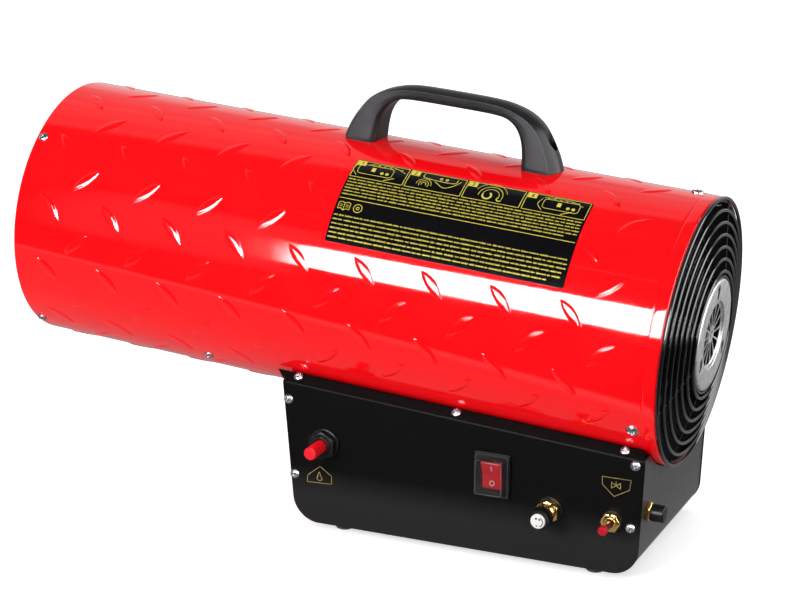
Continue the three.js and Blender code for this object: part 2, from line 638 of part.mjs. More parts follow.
function buildSwitch() {
  const place = controlGroup(SWITCH_PLACE);
  const bezel = plateAlongX(rectangle(31, 37.8, 1.5), CLEARANCE, 2.5, 2);
  const body = frustum(22, 29.2, 22, 29.2, -26, 1);
  const room = frustum(18.4, 27.2, 18.4, 27.2, -13, 10);
  addMesh(place, 'switch_housing', cut(join([bezel, body]), [room]), 'blackPlastic');

  const half = 8.7;
  const profile = roundedShape([
    [-8, -4, 0], [-4, -9, 0], [3.2, -12.2, 0], [1.4, 0, 0], [3.2, 12.2, 0], [-4, 9, 0], [-8, 4, 0],
  ].map(([outward, up]) => [outward - ROCKER_PIVOT, up, 0]));
  const rocker = new THREE.ExtrudeGeometry(profile, { depth: 2 * half, bevelEnabled: false });
  rocker.translate(0, 0, -half).rotateX(Math.PI / 2);
  const mesh = addMesh(place, 'switch_rocker', rocker, 'redPlastic');
  mesh.position.x = ROCKER_PIVOT;
  mesh.rotation.y = ROCKER_TILT;

  const start = 2.8 + CLEARANCE;
  const cover = cut(frustum(28, 34.5, 22.5, 29, start, start + 8),
    [frustum(26.2, 32.7, 20.7, 27.2, start - 1, start + 7)]);
  addMesh(place, 'switch_cover', cover, 'clearPlastic');
}

function buildRegulator() {
  const place = controlGroup(REGULATOR_PLACE);
  const body = revolve([
    [-34, 0], [-34, 9], [-30, 12], [BEHIND_PANEL, 12], [BEHIND_PANEL, 6],
    [14.6, 6], [14.6, 3.4], [-6, 3.4], [-6, 0],
  ], 20);
  addMesh(place, 'regulator_body', body, 'brass');
  addMesh(place, 'regulator_washer', washer(CLEARANCE, 1.6, 11, 6.3), 'blackPlastic');
  addMesh(place, 'regulator_nut', hexRing(17, 6.3, 1.9, 6.6), 'brass');

  const teeth = 24;
  const knurl = [];
  for (let i = 0; i < 2 * teeth; i += 1) {
    const angle = i * Math.PI / teeth;
    const radius = i % 2 ? 8.3 : 8.9;
    knurl.push([radius * Math.cos(angle), radius * Math.sin(angle), 0]);
  }
  const grip = plateAlongX(roundedShape(knurl), 15, 12.5);
  addMesh(place, 'regulator_knob', join([grip, rod(-5, 16, 3, 16)]), 'blackPlastic');
  const cap = revolve([[27.8, 0], [27.8, 6.5], [29.2, 6.5], [30, 5.7], [30, 0]], 28);
  addMesh(place, 'regulator_cap', cap, 'whitePlastic');
}

function buildGasValve() {
  const place = controlGroup(VALVE_PLACE);
  const body = revolve([
    [-40, 0], [-40, 8], [-36, 10], [BEHIND_PANEL, 10], [BEHIND_PANEL, 5],
    [8, 5], [8, 3.1], [-16, 3.1], [-16, 0],
  ], 20);
  addMesh(place, 'valve_body', body, 'brass');
  addMesh(place, 'valve_washer', washer(CLEARANCE, 1.4, 8.6, 5.3), 'blackPlastic');
  addMesh(place, 'valve_nut', hexRing(14.5, 5.3, 1.7, 5.6).rotateX(Math.PI / 6), 'brass');
  const button = revolve([[-9, 0], [-9, 2.75], [16, 2.75], [16, 3.9], [25.7, 3.9], [26.5, 3.1], [26.5, 0]], 24);
  addMesh(place, 'gas_valve_button', button, 'redPlastic');
}

// ---------------------------------------------------------------- gas and electric fittings
function buildGasInlet() {
  const [y, z] = INLET_PLACE;
  const place = addGroup(base, rightAt(z) - 0.6, y, z, OUTWARD_RIGHT);
  const body = join([
    revolve([[-10, 0], [-10, 6], [1, 6], [1, 5.5], [12.6, 5.5], [12.6, 0]], 20),
    hexRing(15, 0, CLEARANCE, 3.3),
  ]);
  addMesh(place, 'inlet_fitting', cut(body, [rod(-6, 30, 3, 12)]), 'brass');
  const cap = revolve([[13, 0], [13, 5.9], [4, 5.9], [4, 7.1], [14, 7.1], [14.7, 6.4], [14.7, 0]], 24);
  addMesh(place, 'inlet_cap', cap, 'blackPlastic');
}

function buildPipesAndLeads(nozzleBack) {
  const behind = ([x, z], depth) => vector(x, -BASE_HALF_DEPTH + depth + CLEARANCE, z);
  const [regX, regZ] = REGULATOR_PLACE;
  const [valveX, valveZ] = VALVE_PLACE;
  const linkY = -BASE_HALF_DEPTH + 22;
  const link = sweep([
    vector(regX + 12 + CLEARANCE, linkY, regZ), vector(valveX - 10 - CLEARANCE, linkY, valveZ)], 3, 2);
  addMesh(base, 'link_pipe', link, 'copper');

  const regulatorBack = behind(REGULATOR_PLACE, 34);
  addMesh(base, 'burner_pipe', sweep([
    regulatorBack, vector(regX, regulatorBack.y + 14, regZ), vector(regX - 30, -12, regZ),
    vector(120, 0, regZ), vector(66, 0, 56), inTube(LEAD_HOLE, 0, -118), inTube(LEAD_HOLE + 5, 0, -90),
    inTube(nozzleBack + 24, 0, -30), inTube(nozzleBack + 20, 0, -6), inTube(nozzleBack + 9, 0, 0),
    inTube(nozzleBack, 0, 0),
  ], 4, 28), 'copper');

  const igniterBack = behind(IGNITER_PLACE, 42);
  const electrodeBack = inTube(nozzleBack, 0, PROBE_OFFSET);
  addMesh(base, 'ignition_lead', sweep([
    igniterBack, igniterBack.clone().add(vector(0, 14, 0)), vector(16, 6, 66),
    inTube(LEAD_HOLE - 8, 8, -118), inTube(LEAD_HOLE - 2, 10, -95), inTube(LEAD_HOLE + 6, 34, -60),
    inTube(LEAD_HOLE + 8, 42, 0), inTube(LEAD_HOLE + 10, 20, 38), inTube(nozzleBack + 8, 1, PROBE_OFFSET),
    inTube(nozzleBack + 4, 0, PROBE_OFFSET), electrodeBack,
  ], 2, 28, 5), 'cable');

  const valveBack = behind(VALVE_PLACE, 40);
  const probeTip = inTube(-HALF + BURNER_PLATE_AT - 34, 0, -PROBE_OFFSET);
  addMesh(base, 'thermocouple', sweep([
    valveBack, valveBack.clone().add(vector(0, 12, 0)), vector(valveX - 40, 6, 30), vector(130, -16, 34),
    vector(70, -14, 50), inTube(LEAD_HOLE - 4, -9, -118), inTube(LEAD_HOLE - 2, -9, -90),
    inTube(LEAD_HOLE, -3, -60), inTube(LEAD_HOLE - 9, 0, -0.5 - PROBE_OFFSET),
    inTube(LEAD_HOLE - 18, 0, -PROBE_OFFSET), probeTip,
  ], 2, 34, 5), 'copper');

  const motorFoot = inTube(HALF - 22, 0, -MOTOR_RADIUS - CLEARANCE);
  addMesh(base, 'motor_lead', sweep([
    motorFoot, inTube(HALF - 23, 0, -58), inTube(MOTOR_LEAD_HOLE + 2, 0, -90),
    inTube(MOTOR_LEAD_HOLE, 0, -118), vector(MOTOR_LEAD_HOLE - 16, 14, 40), vector(215, 34, 14),
    vector(196, 45, 10), vector(180.3, 45, 10)], 2.5, 20, 5), 'cable');
}

function buildElectrics() {
  const block = new THREE.BoxGeometry(40, 18, 15).translate(160, 45, SHEET + 2 * CLEARANCE + 7.8);
  addMesh(base, 'terminal_block', block, 'whitePlastic');

  const [y, z] = GLAND_PLACE;
  const place = addGroup(base, leftAt(z) + 0.6, y, z, OUTWARD_LEFT);
  const gland = join([
    washer(-12, 14, 8, 4, 16), hexRing(22, 7, CLEARANCE, 6), hexRing(22, 7, -6.5, 4.6), washer(6, 17, 9, 4, 16),
  ]);
  addMesh(place, 'cable_gland', gland, 'blackPlastic');

  const limiter = revolve([[0, 0], [0, 4], [2, 4], [2, 8], [8, 8], [8, 0]], 20).rotateY(-Math.PI / 2);
  const under = inTube(120, 0, -TUBE_RADIUS - CLEARANCE);
  addMesh(base, 'overheat_switch', limiter, 'blackPlastic').position.set(under.x, 0, under.z - 8.8);
}

// ---------------------------------------------------------------- assembly
buildShell();
buildShield();
const nozzleBack = buildBurner();
buildMotor();
buildGuard();
buildLabel();
buildHandle();
buildChannel();
buildPanels();
buildFeetAndScrews();
buildIgniter();
buildSwitch();
buildRegulator();
buildGasValve();
buildGasInlet();
buildPipesAndLeads(nozzleBack);
buildElectrics();

// Stand the heater on its feet, with the origin under the middle of its box.
heater.position.z = FOOT_HEIGHT;
heater.updateMatrixWorld(true);
const box = new THREE.Box3().setFromObject(heater, true);
heater.position.x = -(box.min.x + box.max.x) / 2;
heater.position.y = -(box.min.y + box.max.y) / 2;
heater.updateMatrixWorld(true);

export default heater;
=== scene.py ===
"""The looks of a portable gas heater with a fan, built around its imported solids.

Shapes are worked out in millimetres in the frame of the part that carries them, and put in
place in metres. The tube's own frame runs along its axis, towards the end where the fan
draws air in; the base's frame stands under the tube's middle, at the base's underside.
"""

import json
import logging
import math
from dataclasses import dataclass, field
from enum import Enum
from typing import Sequence

import bmesh
import bpy
import numpy as np
from mathutils import Matrix, Vector

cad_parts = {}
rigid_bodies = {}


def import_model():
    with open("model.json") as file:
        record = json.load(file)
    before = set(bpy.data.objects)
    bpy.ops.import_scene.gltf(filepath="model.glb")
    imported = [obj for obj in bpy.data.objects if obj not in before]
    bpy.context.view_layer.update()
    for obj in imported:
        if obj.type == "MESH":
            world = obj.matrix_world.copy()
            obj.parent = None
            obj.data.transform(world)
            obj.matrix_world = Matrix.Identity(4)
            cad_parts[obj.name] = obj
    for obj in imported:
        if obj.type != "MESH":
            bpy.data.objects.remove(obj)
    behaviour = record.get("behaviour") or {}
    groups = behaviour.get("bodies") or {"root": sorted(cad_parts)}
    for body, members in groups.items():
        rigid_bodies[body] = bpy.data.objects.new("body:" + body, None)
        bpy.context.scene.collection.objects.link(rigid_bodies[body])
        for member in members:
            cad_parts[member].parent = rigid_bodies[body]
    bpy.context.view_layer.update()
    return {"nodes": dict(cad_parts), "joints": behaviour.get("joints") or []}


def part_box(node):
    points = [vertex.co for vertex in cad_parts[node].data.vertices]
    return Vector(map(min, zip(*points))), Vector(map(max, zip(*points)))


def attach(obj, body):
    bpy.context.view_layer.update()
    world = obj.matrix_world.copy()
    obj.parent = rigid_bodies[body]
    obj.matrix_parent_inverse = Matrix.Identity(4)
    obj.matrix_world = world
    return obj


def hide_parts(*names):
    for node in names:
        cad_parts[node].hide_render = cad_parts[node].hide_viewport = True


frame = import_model()

LOG = logging.getLogger("heater")
Array = np.ndarray
Rows = Sequence[Sequence[float]]
Region = tuple[float, float, float, float]  # lowest and highest along the tube, and around it in degrees
Object = bpy.types.Object
Socket = bpy.types.NodeSocket
MM = 0.001
TURN = 2.0 * math.pi


# ---------------------------------------------------------------- places
@dataclass(frozen=True)
class Place:
    """A local frame in the heater: an origin and three unit axes, in millimetres."""

    origin: Array
    axes: Array

    def put(self, points: Array) -> Array:
        """Local points in metres of the shared frame: origin + x * first axis + y * second + z * third."""
        return (self.origin + points @ self.axes) * MM

    def at(self, x: float = 0.0, y: float = 0.0, z: float = 0.0) -> "Place":
        """The same axes, with the origin moved by local x, y and z."""
        return Place(self.origin + np.array([x, y, z], float) @ self.axes, self.axes)

    def facing(self, rows: Rows) -> "Place":
        """The same origin, with new axes given as rows in the present ones."""
        return Place(self.origin, np.array(rows, float) @ self.axes)


def tilted_place(centre: Array, tilt: float) -> Place:
    """A frame whose X leans below the level by the tilt in radians, and whose Y is level."""
    cosine, sine = math.cos(tilt), math.sin(tilt)
    return Place(centre, np.array([[cosine, 0, -sine], [0, 1, 0], [sine, 0, cosine]]))


def middle_of(node: str) -> Array:
    """The middle of a CAD node's box, in millimetres."""
    low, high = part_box(node)
    return (np.array(low) + np.array(high)) / 2 / MM


def joint_axis(name: str) -> Array:
    """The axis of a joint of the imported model."""
    return np.array(next(j["axis"] for j in frame["joints"] if j["name"] == name), float)


SPIN_AXIS = joint_axis("fan_spin")
TUBE_TILT = math.atan2(-SPIN_AXIS[2], SPIN_AXIS[0])
AXIS_HEIGHT = 203.3
TUBE_RADIUS = 110.0
HALF_TUBE = 285.5
HALF_BASE = 87.5
TUBE = tilted_place(middle_of("outer_shell"), TUBE_TILT)
BASE = Place(TUBE.origin - np.array([0, 0, AXIS_HEIGHT]), np.eye(3))

LEFT_LEAN = math.radians(5.3)
RIGHT_LEAN = math.radians(2.2)
OUT_OF_FRONT = [[0, -1, 0], [1, 0, 0], [0, 0, 1]]
OUT_OF_BACK = [[0, 1, 0], [-1, 0, 0], [0, 0, 1]]
OUT_OF_LEFT = [
    [-math.cos(LEFT_LEAN), 0, -math.sin(LEFT_LEAN)],
    [0, -1, 0],
    [-math.sin(LEFT_LEAN), 0, math.cos(LEFT_LEAN)],
]
OUT_OF_RIGHT = [
    [math.cos(RIGHT_LEAN), 0, -math.sin(RIGHT_LEAN)],
    [0, 1, 0],
    [math.sin(RIGHT_LEAN), 0, math.cos(RIGHT_LEAN)],
]
DOWNWARD = [[0, 0, -1], [0, 1, 0], [1, 0, 0]]

# Where the fittings sit: X and Z on the front panel, and Y and Z on a side wall.
IGNITER_SPOT = (-4.1, 71.8)
SWITCH_SPOT = (144.5, 67.4)
REGULATOR_SPOT = (194.0, 45.5)
VALVE_SPOT = (246.3, 44.7)
INLET_SPOT = (-68.0, 49.0)
GLAND_SPOT = (40.0, 40.0)


def on_tube(along: float, degrees: float, radius: float) -> Place:
    """A frame that stands on the tube, with X pointing out of its surface and Y along it.

    Args:
        along: Distance from the tube's middle.
        degrees: Angle around the tube, up from its front line.
        radius: Distance from its axis.

    Returns:
        The frame.
    """
    angle = math.radians(degrees)
    out = [0, -math.cos(angle), math.sin(angle)]
    side = [0, -math.sin(angle), -math.cos(angle)]
    here = TUBE.at(along, radius * out[1], radius * out[2])
    return here.facing([out, [1, 0, 0], side])


def on_panel(spot: tuple[float, float]) -> Place:
    """A frame on the front panel's face, with X pointing out of it."""
    return BASE.at(spot[0], -HALF_BASE, spot[1]).facing(OUT_OF_FRONT)


# ---------------------------------------------------------------- shapes
@dataclass
class Shape:
    """Points in local millimetres, and faces as blocks of corner numbers."""

    points: Array
    faces: list[Array]

    def moved(self, x: float = 0.0, y: float = 0.0, z: float = 0.0) -> "Shape":
        """The shape shifted by x, y and z."""
        return Shape(self.points + np.array([x, y, z], float), self.faces)

    def turned(self, degrees: float) -> "Shape":
        """The shape turned about local X, from Y towards Z."""
        angle = math.radians(degrees)
        cosine, sine = math.cos(angle), math.sin(angle)
        turn = np.array([[1, 0, 0], [0, cosine, sine], [0, -sine, cosine]])
        return Shape(self.points @ turn, self.faces)

    def tipped(self, degrees: float) -> "Shape":
        """The shape turned about local Y, from X towards Z."""
        angle = math.radians(degrees)
        cosine, sine = math.cos(angle), math.sin(angle)
        turn = np.array([[cosine, 0, sine], [0, 1, 0], [-sine, 0, cosine]])
        return Shape(self.points @ turn, self.faces)


def spread(x: Array, y: Array, z: Array) -> Array:
    """A grid of points from three coordinates, each repeated where the others run on."""
    return np.stack(np.broadcast_arrays(x, y, z), -1)


def at_x(flat: Array, x: float) -> Array:
    """Flat points, given as [y, z] rows, put at a place along X."""
    return np.column_stack([np.full(len(flat), x), flat])


def joined(shapes: Sequence[Shape]) -> Shape:
    """Several shapes as one, with their corner numbers shifted to match."""
    counts = np.cumsum([0] + [len(shape.points) for shape in shapes])
    faces = [block + start for shape, start in zip(shapes, counts) for block in shape.faces]
    return Shape(np.vstack([shape.points for shape in shapes]), faces)


def surface(
    points: Array,
    wrap_rows: bool = False,
    wrap_columns: bool = False,
    caps: bool = False,
) -> Shape:
    """A sheet of four-sided faces over a grid of points.

    Args:
        points: Rows by columns by three.
        wrap_rows: Joins the last row to the first.
        wrap_columns: Joins the last column to the first.
        caps: Closes the first and the last row, each with one flat face.

    Returns:
        The shape.
    """
    rows, columns = points.shape[:2]
    index = np.arange(rows * columns).reshape(rows, columns)
    ends = [index[:1, ::-1], index[-1:, :]] if caps else []
    if wrap_rows:
        index = np.vstack([index, index[:1]])
    if wrap_columns:
        index = np.hstack([index, index[:, :1]])
    corners = [index[:-1, :-1], index[1:, :-1], index[1:, 1:], index[:-1, 1:]]
    return Shape(points.reshape(-1, 3), [np.stack(corners, -1).reshape(-1, 4), *ends])


def softened(
    corners: Rows,
    reach: float | Sequence[float] = 0.5,
    steps: int = 4,
    closed: bool = False,
) -> Array:
    """An outline whose corners are rounded.

    Each corner c becomes the curve (1-t)^2 * p + 2t(1-t) * c + t^2 * q, where p and q lie the reach
    away from c on its two sides, though never past 0.48 of a side.

    Args:
        corners: The outline's corners.
        reach: How far from each corner its rounding starts.
        steps: Faces around each corner.
        closed: Whether the outline runs back to its first corner.

    Returns:
        The rounded outline.
    """
    middle = np.array(corners, float)
    reaches = np.broadcast_to(np.array(reach, float), len(middle))[:, None]
    before, after = np.roll(middle, 1, 0) - middle, np.roll(middle, -1, 0) - middle
    length_before = np.maximum(np.linalg.norm(before, axis=1, keepdims=True), 1e-9)
    length_after = np.maximum(np.linalg.norm(after, axis=1, keepdims=True), 1e-9)
    start = middle + before * np.minimum(reaches / length_before, 0.48)
    end = middle + after * np.minimum(reaches / length_after, 0.48)
    t = np.linspace(0, 1, steps + 1)[None, :, None]
    curve = (1 - t) ** 2 * start[:, None] + 2 * t * (1 - t) * middle[:, None] + t**2 * end[:, None]
    if closed:
        return curve.reshape(-1, middle.shape[1])
    inside = curve[1:-1].reshape(-1, middle.shape[1])
    return np.vstack([middle[:1], inside, middle[-1:]])


def lathe(profile: Array | Rows, segments: int = 64, ring: bool = False) -> Shape:
    """A solid turned about local X: (x, r) goes to (x, r cos a, r sin a).

    Args:
        profile: Points as [along X, radius]. A plain solid starts and ends at radius 0.
        segments: Faces around.
        ring: Whether the profile closes on itself.

    Returns:
        The shape.
    """
    along, radius = np.array(profile, float).T[:, :, None]
    angle = np.arange(segments) * TURN / segments
    grid = spread(along, radius * np.cos(angle), radius * np.sin(angle))
    return surface(grid, wrap_rows=ring, wrap_columns=True)


def turned(profile: Rows, edge: float = 0.4, segments: int = 64, ring: bool = False) -> Shape:
    """A turned solid whose profile has its corners rounded over."""
    return lathe(softened(profile, edge, closed=ring), segments, ring)


def rod(radius: float, start: float, end: float, edge: float = 0.05, segments: int = 64) -> Shape:
    """A round rod along local X with rounded rims, which is also used as a drill."""
    return turned([[start, 0], [start, radius], [end, radius], [end, 0]], edge, segments)


def torus(radius: float, wire: float, segments: int = 160, sides: int = 14) -> Shape:
    """A wire ring around local X: each point is (w sin b, (R + w cos b) cos a, (R + w cos b) sin a)."""
    angle = (np.arange(segments) * TURN / segments)[:, None]
    side = np.arange(sides) * TURN / sides
    reach = radius + wire * np.cos(side)
    grid = spread(wire * np.sin(side), reach * np.cos(angle), reach * np.sin(angle))
    return surface(grid, wrap_rows=True, wrap_columns=True)


def smooth_path(points: Rows, steps: int = 6) -> Array:
    """A curve through the given points, flat or not.

    Between points b and c, with neighbours a and d, it is
    0.5 * (2b + (c-a) t + (2a-5b+4c-d) t^2 + (3b-a-3c+d) t^3).

    Args:
        points: The points it passes.
        steps: Points made for each stretch.

    Returns:
        The curve's points.
    """
    given = np.array(points, float)
    padded = np.vstack([2 * given[0] - given[1], given, 2 * given[-1] - given[-2]])
    a, b, c, d = (padded[i : len(padded) - 3 + i, None] for i in range(4))
    t = np.linspace(0, 1, steps, endpoint=False)[None, :, None]
    square, cube = 2 * a - 5 * b + 4 * c - d, 3 * b - a - 3 * c + d
    curve = 0.5 * (2 * b + (c - a) * t + square * t**2 + cube * t**3)
    return np.vstack([curve.reshape(-1, given.shape[1]), given[-1:]])


def rounded_loop(width: float, height: float, corner: float) -> Array:
    """A rounded rectangle in Y and Z, as one closed loop of points.

    Each corner is a quarter circle about the point that lies the corner radius inside both sides.

    Args:
        width: Size along Y.
        height: Size along Z.
        corner: Corner radius.

    Returns:
        The loop, as [y, z] rows.
    """
    quarter = np.linspace(0, TURN / 4, 7)
    angle = (np.arange(4)[:, None] * TURN / 4 + quarter).ravel()
    signs = np.repeat(np.array([[1, 1], [-1, 1], [-1, -1], [1, -1]]), len(quarter), axis=0)
    inner = signs * np.array([width / 2 - corner, height / 2 - corner])
    return inner + corner * np.stack([np.cos(angle), np.sin(angle)], -1)


def block(
    width: float,
    height: float,
    start: float,
    end: float,
    corner: float = 1.0,
    edge: float = 0.4,
    bore: float | None = None,
) -> Shape:
    """A block along local X with rounded corners and edges.

    Its loops are rounded rectangles, drawn in near each end by e (1 - cos a) while X moves on by e sin a.

    Args:
        width: Size along Y.
        height: Size along Z.
        start: Where it starts along X.
        end: Where it ends.
        corner: Radius of the long corners.
        edge: Rounding at both ends.
        bore: Wall thickness, where it is a frame.

    Returns:
        The closed shape.
    """
    angle = np.linspace(0, TURN / 4, 5)
    inset = np.concatenate([edge * (1 - np.sin(angle)), edge * (1 - np.cos(angle))])
    along = np.concatenate([start + edge * (1 - np.cos(angle)), end - edge * (1 - np.sin(angle))])

    def loop(x: float, drawn_in: float) -> Array:
        """One loop at a place along X."""
        radius = max(corner - drawn_in * 0.5, 0.05)
        return at_x(rounded_loop(width - 2 * drawn_in, height - 2 * drawn_in, radius), x)

    outer = [loop(x, drawn_in) for x, drawn_in in zip(along, inset)]
    if bore is None:
        return surface(np.stack(outer), wrap_columns=True, caps=True)
    return surface(np.stack([*outer, loop(end, bore), loop(start, bore)]), wrap_rows=True, wrap_columns=True)


def hex_nut(across: float, bore: float, start: float, height: float) -> Shape:
    """A nut along local X whose corners are turned down at both ends.

    At angle a its side stands at R(a) = (across / 2) / cos(a'), with a' the angle from the nearest
    flat's middle, and each end drops back by (R - across / 2) tan 30 degrees outside the flats.

    Args:
        across: Size across the flats.
        bore: Radius of the hole, or 0.
        start: Where it starts along X.
        height: Its height.

    Returns:
        The closed shape.
    """
    columns = 144
    angle = np.arange(columns) * TURN / columns
    from_flat = (angle + TURN / 12) % (TURN / 6) - TURN / 12
    side = np.minimum(across / 2 / np.cos(from_flat), across * 0.572)
    drop = (side - across / 2) * math.tan(math.radians(30)) + 0.12
    hole, end = np.full(columns, max(bore, 1e-6)), np.full(columns, across / 2 - 0.25)
    radius = np.stack([hole, end, side - 0.1, side, side, side - 0.1, end, hole])
    low, high = np.full(columns, start), np.full(columns, start + height)
    along = [low, low, low + drop, low + drop + 0.1, high - drop - 0.1, high - drop, high, high]
    grid = spread(np.stack(along), radius * np.cos(angle), radius * np.sin(angle))
    return surface(grid, wrap_rows=bore > 0, wrap_columns=True)


def pan_screw(radius: float, rise: float, turn: float = 0.0) -> Shape:
    """A pan head with a cross recess, standing out along local X.

    The head's height over its rim follows 1 - (r / R)^3.2, and the recess takes away a cross whose
    walls slope in: depth * clip((w - |y|) / s) or the same in z, within 0.62 of the radius.

    Args:
        radius: Radius of the head.
        rise: Height of the head.
        turn: Turn of the cross, in degrees.

    Returns:
        The closed head, whose underside is at 0.
    """
    columns, rows = 72, 22
    angle = (np.arange(columns) * TURN / columns)[None, :]
    reach = (np.linspace(0, 1, rows) ** 0.85)[:, None]
    y, z = reach * np.cos(angle), reach * np.sin(angle)
    tilt = math.radians(turn)
    across, along = y * math.cos(tilt) + z * math.sin(tilt), z * math.cos(tilt) - y * math.sin(tilt)
    within = np.clip((0.62 - np.maximum(abs(across), abs(along))) / 0.1, 0, 1)
    arm = np.clip((0.17 - np.minimum(abs(across), abs(along))) / 0.09, 0, 1)
    height = rise * (0.32 + 0.68 * (1 - reach**3.2)) - 0.62 * rise * within * arm
    top = spread(height, radius * y, radius * z)
    skirt = spread(0.02, radius * np.cos(angle) * 0.99, radius * np.sin(angle) * 0.99)
    closing = spread(0.0, 0.0, 0 * angle)
    return surface(np.vstack([top, skirt, closing]), wrap_columns=True)


def ribbon(path: Array, width: float, low: float, high: float) -> Shape:
    """A flat stroke along a path in Y and Z, whose edges lie half its width to each side.

    Args:
        path: Points as [y, z] rows.
        width: Width of the stroke.
        low: Its underside along X.
        high: Its top along X.

    Returns:
        The closed stroke.
    """
    along = np.gradient(path, axis=0)
    along /= np.linalg.norm(along, axis=1, keepdims=True)
    square = np.column_stack([-along[:, 1], along[:, 0]]) * width / 2
    left, right = path + square, path - square

    rows = [at_x(left, low), at_x(left, high), at_x(right, high), at_x(right, low)]
    return surface(np.stack(rows, 1), wrap_columns=True, caps=True)


def dense(points: Rows, step: float = 1.5) -> Array:
    """A broken line with extra points, none further apart than the step."""
    given = np.array(points, float)
    lengths = np.linalg.norm(np.diff(given, axis=0), axis=1)
    counts = np.maximum(np.ceil(lengths / step).astype(int), 1)
    stretches = [np.linspace(a, b, n, endpoint=False) for a, b, n in zip(given[:-1], given[1:], counts)]
    return np.vstack([*stretches, given[-1:]])


def arc(y: float, z: float, radius: float, first: float, last: float, count: int = 28) -> Array:
    """Points on a circle in Y and Z between two angles in degrees."""
    angle = np.radians(np.linspace(first, last, count))
    return np.column_stack([y + radius * np.cos(angle), z + radius * np.sin(angle)])


# ---------------------------------------------------------------- finishes
NOISE_SPREAD = (0.3, 0.7)


class NodeSheet:
    """The node tree of one material, with short ways to add and join nodes."""

    def __init__(self, name: str, room: bool = False) -> None:
        """Starts a material, or a world where it is for the room, with an empty tree."""
        self.material = (bpy.data.worlds if room else bpy.data.materials).new(name)
        self.material.use_nodes = True
        self.tree = self.material.node_tree
        self.tree.nodes.clear()
        self.output = self.node("ShaderNodeOutputWorld" if room else "ShaderNodeOutputMaterial")
        self.coordinates = self.node("ShaderNodeTexCoord").outputs["Generated" if room else "Object"]

    def node(self, kind: str, **values: object) -> bpy.types.Node:
        """Adds a node, and sets its properties or its inputs by name.

        Args:
            kind: Blender's name of the node type.
            values: Properties, or inputs whose names have underscores for spaces.

        Returns:
            The node.
        """
        made = self.tree.nodes.new(kind)
        for key, value in values.items():
            if hasattr(made, key):
                setattr(made, key, value)
            else:
                made.inputs[key.replace("_", " ")].default_value = value
        return made

    def join(self, source: Socket, target: Socket) -> None:
        """Links an output to an input."""
        self.tree.links.new(source, target)

    def axes(self) -> tuple[Socket, ...]:
        """The X, Y and Z of the coordinates, in metres."""
        parts = self.node("ShaderNodeSeparateXYZ")
        self.join(self.coordinates, parts.inputs["Vector"])
        return parts.outputs["X"], parts.outputs["Y"], parts.outputs["Z"]

    def feed(self, value: float | Socket, socket: Socket) -> None:
        """Sets an input to a number, or links an output to it."""
        if isinstance(value, (int, float)):
            socket.default_value = value
        else:
            self.join(value, socket)

    def worked(self, operation: str, first: float | Socket, second: float | Socket = 0.0) -> Socket:
        """One sum of two values, each of which is a number or an output.

        Args:
            operation: Blender's name of the sum, such as ADD or MULTIPLY.
            first: The first value.
            second: The second value.

        Returns:
            Its result.
        """
        made = self.node("ShaderNodeMath", operation=operation)
        for value, socket in zip((first, second), made.inputs):
            self.feed(value, socket)
        return made.outputs["Value"]

    def step(self, value: Socket, start: float, end: float, low: float = 0.0, high: float = 1.0) -> Socket:
        """A soft step: low up to the start, high from the end, and smooth between them."""
        made = self.node("ShaderNodeMapRange", interpolation_type="SMOOTHSTEP")
        for key, number in (("From Min", start), ("From Max", end), ("To Min", low), ("To Max", high)):
            made.inputs[key].default_value = number
        self.join(value, made.inputs["Value"])
        return made.outputs["Result"]

    def noise(self, size: float, detail: float = 3.0, stretch: Sequence[float] = (1, 1, 1)) -> Socket:
        """A noise whose spots are about the given size.

        Args:
            size: Size of a spot, in millimetres.
            detail: How many finer layers it has.
            stretch: How much denser it is along each axis.

        Returns:
            Its factor.
        """
        mapping = self.node("ShaderNodeMapping")
        mapping.inputs["Scale"].default_value = stretch
        self.join(self.coordinates, mapping.inputs["Vector"])
        texture = self.node("ShaderNodeTexNoise", Scale=1.0 / (size * MM), Detail=detail, Roughness=0.55)
        self.join(mapping.outputs["Vector"], texture.inputs["Vector"])
        return texture.outputs["Fac"]

    def between(self, factor: Socket, low: float, high: float) -> Socket:
        """Maps the middle of a noise's spread onto the range from low to high."""
        start, end = NOISE_SPREAD
        mapped = self.node("ShaderNodeMapRange", From_Min=start, From_Max=end, To_Min=low, To_Max=high)
        self.join(factor, mapped.inputs["Value"])
        return mapped.outputs["Result"]

    def mixed(self, factor: Socket, first: Sequence[float], second: Sequence[float]) -> Socket:
        """A colour that runs from the first to the second over the middle of a noise's spread."""
        ramp = self.node("ShaderNodeValToRGB")
        for stop, place, colour in zip(ramp.color_ramp.elements, NOISE_SPREAD, (first, second)):
            stop.position = place
            stop.color = (*colour, 1)
        self.join(factor, ramp.inputs["Fac"])
        return ramp.outputs["Color"]

    def bump(self, height: Socket, depth: float, under: Socket | None = None) -> Socket:
        """A bump of that depth in millimetres, over another bump where one is given."""
        made = self.node("ShaderNodeBump", Strength=1.0, Distance=depth * MM)
        self.join(height, made.inputs["Height"])
        if under is not None:
            self.join(under, made.inputs["Normal"])
        return made.outputs["Normal"]

    def glow(self, strength: float | Socket) -> Socket:
        """White light of a strength."""
        made = self.node("ShaderNodeEmission")
        self.feed(strength, made.inputs["Strength"])
        return made.outputs["Emission"]

    def either(self, factor: Socket, first: Socket, second: Socket) -> Socket:
        """One shader where the factor is 0, and another where it is 1."""
        made = self.node("ShaderNodeMixShader")
        for source, socket in zip((factor, first, second), made.inputs):
            self.join(source, socket)
        return made.outputs["Shader"]

    def blend(self, factor: Socket, first: float | Socket, second: float | Socket) -> Socket:
        """One value where the factor is 0, and another where it is 1."""
        made = self.node("ShaderNodeMix")
        for source, name in ((factor, "Factor"), (first, "A"), (second, "B")):
            self.feed(source, made.inputs[name])
        return made.outputs["Result"]


class Texture(Enum):
    """How a finish's colour and gloss are spread over it."""

    EVEN = "even"
    SPANGLED = "spangled"
    DRAWN = "drawn"
    # Painted light: the colour grows paler towards the floor, for the floor's sheen on the coat.
    FADED = "faded"


